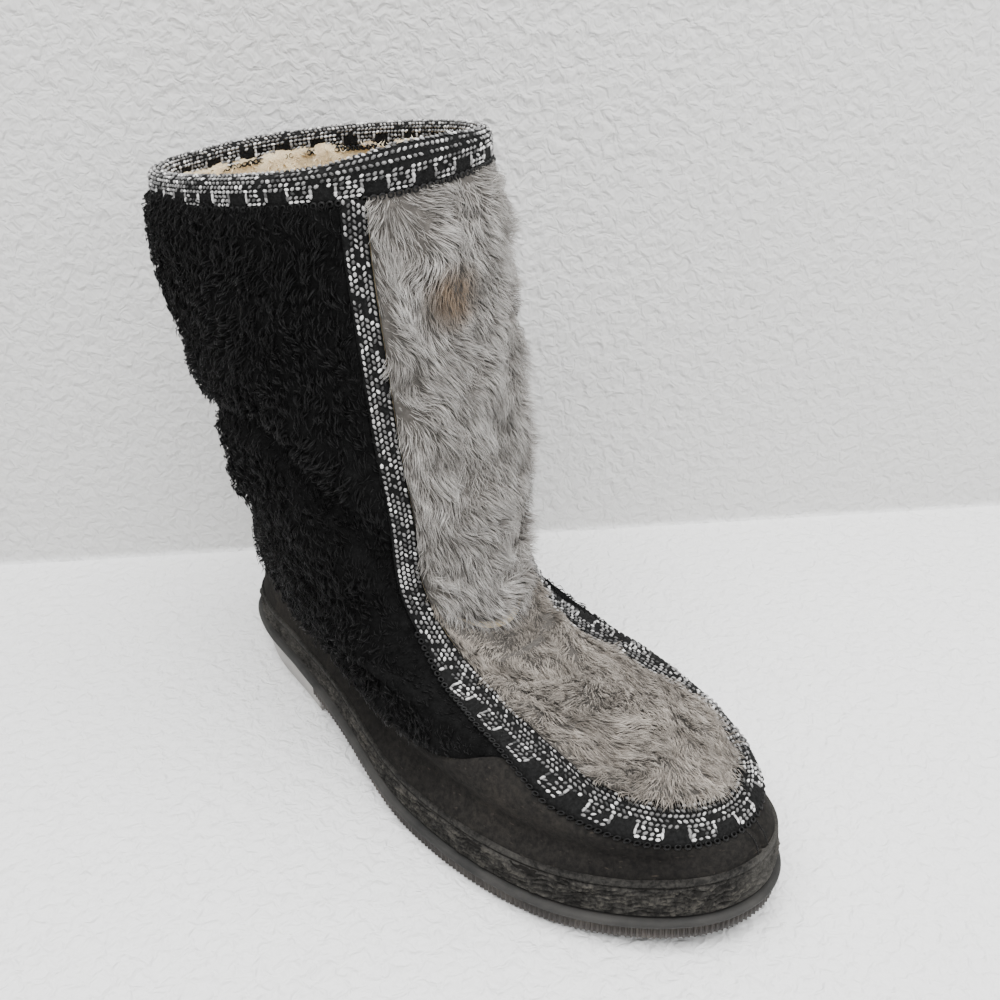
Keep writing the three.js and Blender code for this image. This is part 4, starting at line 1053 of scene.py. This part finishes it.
def fur(name, place, thick, count, seed, flow_of, length, radius, tuft, gather, lift, lay, top_fade):
    """Grows hairs on a patch: flow_of gives how far they turn from straight down the boot."""
    source = np.random.default_rng(seed)
    a, b = spread(place, count, source)
    U, V = place(a, b)
    out, up, way = frame_at(U, V)
    base = on_upper(U, V)
    height = np.maximum(0.3, surface_height(a, b, thick, seed) - creased(base) - 0.6)
    root = base + out * height[:, None]
    turn = flow_of(a, b) + 1.15 * layered(a * 6, b * 16, seed + 3, 2) + 0.3 * source.standard_normal(count)
    down = -unit(up)
    sideways = unit(way)
    flow = down * np.cos(turn)[:, None] + sideways * np.sin(turn)[:, None]
    long = length * (0.75 + 0.5 * source.random(count))
    edge_fade = np.minimum(np.minimum(a, 1 - a) / 0.05, (1 - b) / top_fade)
    long = long * mix(0.45, 1, ease(edge_fade))
    wide = radius * (0.7 + 0.6 * source.random(count))
    lifts = lift + 0.4 * layered(a * 8, b * 20, seed + 5, 2) + 0.2 * source.standard_normal(count)
    lays = lay + 0.55 * layered(a * 8, b * 20, seed + 5, 2) + 0.25 * source.standard_normal(count)
    return hairs(name, root, out, flow, long, wide, lifts, lays, tuft, gather, source)


STAIN = (-0.0066, -0.0068, 0.1917)
grey_fur = fur_material(
    "grey_fur", (0.09, 0.083, 0.074), (0.35, 0.33, 0.305), (0.84, 0.82, 0.79),
    [(STAIN, (0.014, 0.014, 0.013), (0.5, 0.33, 0.18))],
    Roughness=0.6, Specular_IOR_Level=0.3, Sheen_Weight=0.1)
vamp_fur = fur_material(
    "vamp_fur", (0.1, 0.085, 0.07), (0.33, 0.29, 0.245), (0.62, 0.575, 0.515), (),
    Roughness=0.65, Specular_IOR_Level=0.3, Sheen_Weight=0.1)
fur_ground_painted_shade, tree, shader = new_material("fur_ground_painted_shade", Roughness=0.95)
where = coordinates(tree)
# near black: painted shade deep in the fur between the hairs
colour = ramp(tree, texture(tree, where, 300, 5, 0.7), [
    (0.3, (0.035, 0.032, 0.028)), (0.7, (0.1, 0.09, 0.08))])
tree.links.new(colour, shader.inputs["Base Color"])
bump(tree, shader, texture(tree, where, 700, 4), 0.8, 0.001)

flap_felt = felt("flap_felt", flap_place, 5.0, 70, 34, 31)
finish_piece(flap_felt, fur_ground_painted_shade, "grey_fur", "shaft_flap")
vamp_felt = felt("vamp_felt", vamp_place, 4.5, 60, 34, 41)
finish_piece(vamp_felt, fur_ground_painted_shade, "grey_fur", "vamp_plug")

# %% Long grey hairs
flap_fur = fur("flap_fur", flap_place, 4.3, 16500, 31, lambda a, b: 0.3 + 0.5 * (a - 0.4),
               9.5, 0.13, 3.4, 0.55, 0.75, 0.22, 0.03)
finish_piece(flap_fur, grey_fur, "grey_fur")
vamp_hair = fur("vamp_hair", vamp_place, 4.2, 14000, 41, lambda a, b: -0.55 + 0.3 * (a - 0.5),
                7.8, 0.125, 3.4, 0.42, 0.8, 0.25, 0.14)
finish_piece(vamp_hair, vamp_fur, "grey_fur")

# %% [markdown]
# ## Curly black pile
# The shaft and quarters are short astrakhan-like pile. Its curls are short thick hairs in small
# tufts that turn every way, over a nearly black ground that carries the slouch creases.

# %% The pile's ground


def pile_place(a, b):
    """a goes from the outer braid round the back to the inner braid, b from the leather up."""
    a, b = np.broadcast_arrays(np.asarray(a, float), np.asarray(b, float))
    signed = 1 - 2 * a  # 1 at the outer braid, 0 at the back, -1 at the inner braid
    side = np.where(signed > 0, -1, 1)
    guess = np.abs(signed)
    v_low = guess * np.where(side < 0, join[-1], join[1])
    low = np.where(guess < 1, leather_top(np.where(side < 0, v_low, 1 - v_low)), LEATHER_MEETS)
    low = np.minimum(low, LEATHER_MEETS) - 0.03
    v_top = guess * edge_round(side, RIM - 0.3)
    high = below_rim(np.where(side < 0, v_top, 1 - v_top), COLLAR_FALL - 0.5 - 3.2 * ease((1 - guess) / 0.5))
    u = mix(low, high, b)
    way = guess * edge_round(side, np.maximum(u, 2.95))
    return u, np.where(side < 0, way, 1 - way)


PILE_THICK = 3.4


def pile_height(a, b, thick=PILE_THICK):
    border = ease(np.minimum(np.minimum(a, 1 - a) / 0.03, np.minimum(b, 1 - b) / 0.03))
    lumps = 0.6 * layered(a * 34, b * 22, 51) + 0.5 * noise(a * 12, b * 9, 57)
    near_braid = ease((np.minimum(a, 1 - a) - 0.01) / 0.13)
    low = ease((0.45 - b) / 0.2)
    return 0.6 + (thick - 0.6) * mix(0.4, 1, border) * mix(1, near_braid, low) + lumps * near_braid


a, b = np.meshgrid(np.linspace(0, 1, 180), np.linspace(0, 1, 76))
U, V = pile_place(a, b)
base = on_upper(U, V)
height = np.maximum(0.5, pile_height(a, b) - creased(base))
ground = skin("pile_ground", off_upper(U, V, height), off_upper(U, V, np.full(U.shape, 0.2)))
pile_ground, tree, shader = new_material("pile_ground", Roughness=0.95, Specular_IOR_Level=0.05)
where = coordinates(tree)
colour = ramp(tree, texture(tree, where, 260, 5, 0.7), [
    (0.3, (0.002, 0.002, 0.002)), (0.7, (0.007, 0.007, 0.007))])
tree.links.new(colour, shader.inputs["Base Color"])
bump(tree, shader, texture(tree, where, 420, 5), 1.0, 0.0015)
finish_piece(ground, pile_ground, "black_pile", "pile_shaft")

# %% The pile's curls
black_pile = fur_material("black_pile", (0.0015, 0.0015, 0.0015), (0.0045, 0.0045, 0.0046),
                          (0.017, 0.017, 0.0173), (), Roughness=0.55, Specular_IOR_Level=0.12)


def curls(name, low_a, high_a, count, seed):
    source = np.random.default_rng(seed)
    place = lambda a, b: pile_place(mix(low_a, high_a, a), b)
    a, b = spread(place, count, source)
    whole = mix(low_a, high_a, a)
    U, V = place(a, b)
    out, up, way = frame_at(U, V)
    base = on_upper(U, V)
    height = np.maximum(0.3, pile_height(whole, b) - creased(base) - 0.5)
    root = base + out * height[:, None]
    label, centres = tuft_centres(base, 3.4, source)
    swirl = source.random(len(centres)) * 2 * np.pi
    turn = 0.6 * np.sin(swirl)[label] + 1.3 * noise(base[:, 1] / 13, base[:, 2] / 13 + base[:, 0] / 11, seed)
    turn = turn + 0.4 * source.standard_normal(count)
    flow = -unit(up) * np.cos(turn)[:, None] + unit(way) * np.sin(turn)[:, None]
    long = 5.6 * (0.7 + 0.6 * source.random(count))
    edge_fade = np.minimum(np.minimum(whole, 1 - whole) / 0.02, np.minimum(b, 1 - b) / 0.02)
    long = long * mix(0.55, 1, ease(edge_fade))
    near = ease((np.minimum(whole, 1 - whole) - 0.01) / 0.12)
    long = long * mix(1, mix(0.3, 1, near), ease((0.5 - b) / 0.2))
    long = long * (1 - 0.5 * np.clip(creased(base) / 4, 0, 1)) * mix(0.4, 1, ease(b / 0.05))
    wide = 0.3 * (0.7 + 0.6 * source.random(count))
    lifts = 0.9 + 0.25 * source.standard_normal(count)
    lays = -0.05 + 0.3 * source.standard_normal(count)
    return hairs(name, root, out, flow, long, wide, lifts, lays, 4.4, 0.62, source)


for number, (low_a, high_a) in enumerate([(0.0, 0.5), (0.5, 1.0)]):
    piece = curls(("pile_outer_side", "pile_inner_side")[number], low_a, high_a, 11500, 61 + number)
    finish_piece(piece, black_pile, "black_pile")

# %% Fleece curls inside the rim
source = np.random.default_rng(71)
lining_place = lambda a, b: (mix(8.6, RIM - 0.25, b), a)
a, b = spread(lining_place, 3000, source)
U, V = lining_place(a, b)
out, up, way = frame_at(U, V)
root = on_upper(U, V) - out * (WALL + 2.0)
turn = source.random(len(a)) * 2 * np.pi
flow = unit(up) * np.cos(turn)[:, None] + unit(way) * np.sin(turn)[:, None]
n = len(a)
fleece_hair = fur_material("fleece_hair", (0.82, 0.6, 0.32), (0.93, 0.77, 0.5), (0.97, 0.88, 0.66), (),
                           Roughness=0.8, Sheen_Weight=0.3)
curl = hairs("fleece_curls", root, -out, flow, 3.2 + 1.6 * source.random(n), 0.3 + 0.15 * source.random(n),
             0.7 + 0.3 * source.standard_normal(n), 0.0 + 0.4 * source.standard_normal(n), 3.6, 0.4, source)
finish_piece(curl, fleece_hair, "lining")

# %% [markdown]
# ## Woven braid
# The ribbon is a black jacquard with silver floats: a tweed half beside the fur, and a half with
# framed squares and plain black ones by turns, ending in a row of little loops. The floats are real
# lumps of thread here, charted for one repeat and laid along the ribbon as joined meshes.

# %% The chart of one repeat, from the fur's side outwards, one column a millimetre
# a and b are grey floats that lean opposite ways, w a white one, I an upright one, a dot none
CHART = [
    "a.a.a.a.a.a.a.a.",
    ".b.b.b.b.b.b.b.b",
    "a.a.a.a.a.a.a.a.",
    ".b.b.b.b.b.b.b.b",
    "w.a.w.a.w.a.a.a.",
    "I.b.b.b.I.......",
    "Ia.a.a.aI.......",
    ".w.w.w.w........",
]
ROW_PITCH = 1.42
FLOATS_MISSING = 0.14  # share of the tweed's floats that the worn ribbon has lost
PICOT_PITCH = 2.7
PICOT_SIZE = (1.35, 1.25, 0.75)  # half length, half width and cord height of one loop


def threads(name, centre, along, across, out, kind, source, scale=1.0):
    """Floats: spindles of two square rings and two tips, laid along or across the ribbon."""
    n = len(centre)
    tall = kind == "I"
    long_way = np.where(tall[:, None], across, along)
    wide_way = np.where(tall[:, None], along, across)
    size = scale * np.where(tall, 1.25, 0.92) * (0.85 + 0.3 * source.random(n))
    wide = scale * 0.5 * (0.8 + 0.4 * source.random(n))
    thick = 0.5 * scale
    tilt = np.where(kind == "a", 0.45, np.where(kind == "b", -0.45, 0.0)) + 0.16 * source.standard_normal(n)
    long_dir = long_way * np.cos(tilt)[:, None] + wide_way * np.sin(tilt)[:, None]
    wide_dir = wide_way * np.cos(tilt)[:, None] - long_way * np.sin(tilt)[:, None]
    points = np.empty((n, 10, 3))
    points[:, 0] = centre - long_dir * size[:, None] - out * 0.1
    points[:, 9] = centre + long_dir * size[:, None] - out * 0.1
    for r, at in enumerate((-0.45, 0.45)):
        for k, (w, h) in enumerate([(1, 0), (0, 1), (-1, 0), (0, -0.5)]):
            points[:, 1 + 4 * r + k] = (centre + long_dir * (at * size)[:, None]
                                        + wide_dir * (w * wide)[:, None] + out * (h * thick))
    start = (np.arange(n) * 10)[:, None]
    tris = np.concatenate([start + np.array([0, 1 + (k + 1) % 4, 1 + k]) for k in range(4)]
                          + [start + np.array([9, 5 + k, 5 + (k + 1) % 4]) for k in range(4)])
    quads = np.concatenate([start + np.array([1 + k, 1 + (k + 1) % 4, 5 + (k + 1) % 4, 5 + k])
                            for k in range(4)])
    tone = np.where(kind == "w", 0.66, np.where(tall, 0.52, 0.4)) + 0.27 * source.standard_normal(n)
    uv = np.empty((n, 10, 2))
    uv[..., 0] = np.clip(tone, 0.02, 0.98)[:, None]
    uv[..., 1] = 0.5
    return weld(place_mesh(name, points, [tris, quads], uv), merge=False)


thread, tree, shader = new_material("silver_thread", Roughness=0.6, Specular_IOR_Level=0.3)
split = add(tree, "SeparateXYZ", [coordinates(tree, "UV")])
colour = ramp(tree, split.outputs[0], [
    (0.0, (0.025, 0.025, 0.025)), (0.5, (0.22, 0.216, 0.214)), (1.0, (0.78, 0.77, 0.76))])
tree.links.new(colour, shader.inputs["Base Color"])
ribbon, tree, shader = new_material("black_ribbon", Roughness=0.85, Specular_IOR_Level=0.08)
where = coordinates(tree)
colour = ramp(tree, texture(tree, where, 900, 3), [
    (0.3, (0.003, 0.003, 0.003)), (0.7, (0.011, 0.011, 0.011))])
tree.links.new(colour, shader.inputs["Base Color"])
bump(tree, shader, texture(tree, where, 1300, 3), 0.8, 0.0004)

# %% Front braid: the ribbon, its floats and its picot edge
t = np.linspace(BRAID_START, 1 - BRAID_START, 600)
line = on_upper(*braid_at(t))
run = np.concatenate([[0], np.cumsum(np.linalg.norm(np.diff(line, axis=0), axis=1))])
across_share = np.linspace(-1, 1, 9)
T, W = np.meshgrid(t, across_share, indexing="ij")
U, V = beside_braid(T, W * braid_half(T))
crown = BED + BRAID * (0.72 + 0.28 * np.sqrt(np.maximum(0, 1 - W**4))) - 0.5
crown = crown + 0.12 * np.sin(2 * np.pi * run[:, None] / 1.0) * (np.abs(W) < 0.95)
ribbon_outer = off_upper(U, V, crown)
front_ribbon = skin("front_ribbon", ribbon_outer, off_upper(U, V, np.full(U.shape, 0.35)))
finish_piece(front_ribbon, ribbon, "braid", "front_braid")
REPEAT = len(CHART[0])
centres, kinds = [], []
repeats = run[-1] / REPEAT
for row, text in enumerate(CHART):
    for column, letter in enumerate(text):
        if letter == ".":
            continue
        s = np.arange(int(repeats) + 1) * REPEAT + column + 0.5
        s = s[s < run[-1] - 0.5]
        centres.append(np.stack([s, np.full(len(s), row)], -1))
        kinds += [letter] * len(s)
cells = np.concatenate(centres)
kinds = np.array(kinds)
where_t = np.interp(cells[:, 0], run, t)
half_here = braid_half(where_t)
aside = half_here - (cells[:, 1] + 0.7) * ROW_PITCH
missing = np.isin(kinds, ["a", "b"]) & (rng.random(len(kinds)) < FLOATS_MISSING)
keep = (aside > -half_here + 0.6) & ~missing
where_t, aside, kinds_kept, half_here = where_t[keep], aside[keep], kinds[keep], half_here[keep]


def ribbon_frame(t, aside, height):
    """Position and the directions along, across and out at a place on the front ribbon."""
    u, v = beside_braid(t, aside)
    u2, v2 = beside_braid(np.clip(t + 0.001, 0, 1), aside)
    u3, v3 = beside_braid(t, aside + 0.5)
    out = frame_at(u, v)[0]
    here = on_upper(u, v)
    along = unit(on_upper(u2, v2) - here)
    across = unit(on_upper(u3, v3) - here)
    return here + out * np.asarray(height)[..., None], along, across, out


share = aside / half_here
height = BED + BRAID * (0.72 + 0.28 * np.sqrt(np.maximum(0, 1 - share**4))) - 0.4
centre, along, across, out = ribbon_frame(where_t, aside, height)
floats = threads("front_floats", centre, along, across, out, kinds_kept, np.random.default_rng(81))
finish_piece(floats, thread, "braid")

# picots: small loops of black cord along the outer edge, where it shows round the toe
loop_run = np.arange(2, run[-1] - 2, PICOT_PITCH)
loop_t = np.interp(loop_run, run, t)
loop_t = loop_t[braid_at(loop_t)[0] < BRAID_NARROWS]


def beads(name, centre, along, across, out, long, wide, thick):
    """Rounded loops: a ring of cord with its hole nearly closed, seven points round the ring and
    four round the cord."""
    n = len(centre)
    ring_angle = np.linspace(0, 2 * np.pi, 8)[:-1]
    cord_angle = np.linspace(0, 2 * np.pi, 5)[:-1]
    R, Cc = np.meshgrid(ring_angle, cord_angle, indexing="ij")
    radial = 1 + 0.42 * np.cos(Cc)
    local = np.stack([long * np.cos(R) * radial / 1.42, wide * np.sin(R) * radial / 1.42,
                      thick * np.sin(Cc)], -1).reshape(-1, 3)
    points = (centre[:, None] + along[:, None] * local[None, :, :1]
              + across[:, None] * local[None, :, 1:2] + out[:, None] * local[None, :, 2:])
    m = len(local)
    j, i = np.meshgrid(np.arange(7), np.arange(4), indexing="ij")
    k, i_next = (j + 1) % 7, (i + 1) % 4
    quad = np.stack([j * 4 + i, k * 4 + i, k * 4 + i_next, j * 4 + i_next], -1).reshape(-1, 4)
    quads = (quad[None] + (np.arange(n) * m)[:, None, None]).reshape(-1, 4)
    return weld(place_mesh(name, points, [quads]), merge=False)


centre, along, across, out = ribbon_frame(loop_t, -braid_half(loop_t) - 0.2, BED + 0.9 + 0 * loop_t)
picot = beads("front_picots", centre, along, across, out, *PICOT_SIZE)
cord_black, tree, shader = new_material("black_cord", Roughness=0.55, Specular_IOR_Level=0.2)
where = coordinates(tree)
colour = ramp(tree, texture(tree, where, 700, 2), [
    (0.3, (0.004, 0.004, 0.004)), (0.7, (0.012, 0.012, 0.012))])
tree.links.new(colour, shader.inputs["Base Color"])
finish_piece(picot, cord_black, "braid")

# %% [markdown]
# ## Collar braid
# A wider ribbon is folded over the rim, tweed on the fold and squares on both falls. Its path over
# the edge is a line outside, a half circle over the top and a line inside, carried round the rim.

# %% The folded ribbon
OVER = WALL / 2 + BRAID * 0.75
ARCH = np.pi * OVER
PATH = COLLAR_FALL + ARCH + COLLAR_TURN


def over_rim(v, w, extra=0.0):
    """Place on the folded ribbon, w millimetres along its path from the outer edge."""
    v, w = np.broadcast_arrays(np.asarray(v, float), np.asarray(w, float))
    angle = np.clip((w - COLLAR_FALL) / ARCH, 0, 1) * np.pi
    drop = np.where(w < COLLAR_FALL, COLLAR_FALL - w, np.maximum(0, w - COLLAR_FALL - ARCH))
    u = below_rim(v, drop)
    out = frame_at(u, v)[0]
    flat_out = out * np.array([1, 1, 0.0])
    radius = OVER + extra
    bulge = COLLAR_BULGE * np.exp(-(((v % 1) - BULGE_ROUND) / 0.075) ** 2)
    wave = 0.5 * noise(v * 16, w / 9, 91)
    sideways = -WALL / 2 + radius * np.cos(angle) + wave
    base = on_upper(u, v)
    lift = np.sin(angle) * (radius * 0.9 + bulge)
    return base + unit(flat_out) * sideways[..., None] + np.array([0, 0, 1.0]) * lift[..., None]


v = np.arange(380) / 380
w = np.concatenate([[0.0], np.linspace(0.6, PATH - 0.6, 16), [PATH]])
W, V = np.meshgrid(w, v, indexing="ij")
edge_fade = np.minimum(1, np.minimum(W, PATH - W) / 0.6)
collar = skin("collar_ribbon", over_rim(V, W, -0.45 + 0.45 * edge_fade), over_rim(V, W, -1.6), closed=True)
finish_piece(collar, ribbon, "braid", "collar_braid")

rows_across = int(PATH / ROW_PITCH)
rim_line = over_rim(v, np.full(len(v), COLLAR_FALL))
rim_run = np.concatenate([[0], np.cumsum(np.linalg.norm(np.diff(rim_line, axis=0), axis=1))])
rim_total = rim_run[-1] + np.linalg.norm(rim_line[0] - rim_line[-1])
count = round(rim_total / REPEAT)
pitch = rim_total / count / REPEAT
cell_s, cell_w, cell_kind = [], [], []
for row in range(rows_across):
    mirrored = min(row, rows_across - 1 - row)
    text = CHART[max(0, len(CHART) - 1 - mirrored)] if mirrored < 4 else CHART[row % 4]
    for column, letter in enumerate(text):
        if letter == ".":
            continue
        s = (np.arange(count) * REPEAT + column + 0.5) * pitch
        cell_s.append(s)
        cell_w.append(np.full(len(s), (row + 0.85) * ROW_PITCH))
        cell_kind += [letter] * len(s)
cell_s, cell_w, cell_kind = np.concatenate(cell_s), np.concatenate(cell_w), np.array(cell_kind)
missing = np.isin(cell_kind, ["a", "b"]) & (rng.random(len(cell_kind)) < FLOATS_MISSING)
keep = ~missing & (cell_w < PATH - 0.5)
cell_s, cell_w, cell_kind = cell_s[keep], cell_w[keep], cell_kind[keep]
cell_v = np.interp(cell_s, np.append(rim_run, rim_total), np.append(v, 1.0))
here = over_rim(cell_v, cell_w)
along = unit(over_rim(cell_v + 0.002, cell_w) - here)
across = unit(over_rim(cell_v, cell_w + 0.4) - here)
out = unit(np.cross(along, across))
if dot(out, unit(over_rim(cell_v, cell_w, 0.5) - here)).mean() < 0:
    out = -out
collar_floats = threads("collar_floats", here + out * 0.15, along, across, out, cell_kind,
                        np.random.default_rng(83))
finish_piece(collar_floats, thread, "braid")
loop_s = np.arange(1.3, rim_total, PICOT_PITCH)
loop_v = np.interp(loop_s, np.append(rim_run, rim_total), np.append(v, 1.0))
for name, w_here in (("collar_picots_outside", -0.3), ("collar_picots_inside", PATH + 0.3)):
    here = over_rim(loop_v, np.full(len(loop_v), np.clip(w_here, 0, PATH)))
    here = here + np.array([0, 0, -0.4])
    along = unit(over_rim(loop_v + 0.002, np.full(len(loop_v), np.clip(w_here, 0, PATH)))
                 + np.array([0, 0, -0.4]) - here)
    out = unit(np.cross(along, np.array([0, 0, 1.0])))
    piece = beads(name, here, along, np.broadcast_to([0, 0, 1.0], along.shape), out, *PICOT_SIZE)
    finish_piece(piece, cord_black, "braid")

# %% [markdown]
# ## Stitches of the toe seam
# The nubuck is joined at the middle of the toe with two rows of black stitches. Each stitch is the
# same spindle of thread as a float, laid along the seam.

# %% Stitches
stitch_share = np.linspace(0.05, 0.95, 13)
u_top = float(leather_top(0.5))
stitch_u = np.tile(mix(0.75, u_top, stitch_share), 2)
stitch_v = 0.5 + np.repeat([-1.7, 1.7], len(stitch_share)) / TOE_ROUND
out, up, way = frame_at(stitch_u, stitch_v)
centre = off_upper(stitch_u, stitch_v, np.full(len(stitch_u), GAP + LEATHER + 0.2))
stitches = threads("toe_stitches", centre, unit(up), unit(way), out, np.array(["plain"] * len(stitch_u)),
                   np.random.default_rng(85), 0.55)
finish_piece(stitches, cord_black, "nubuck")
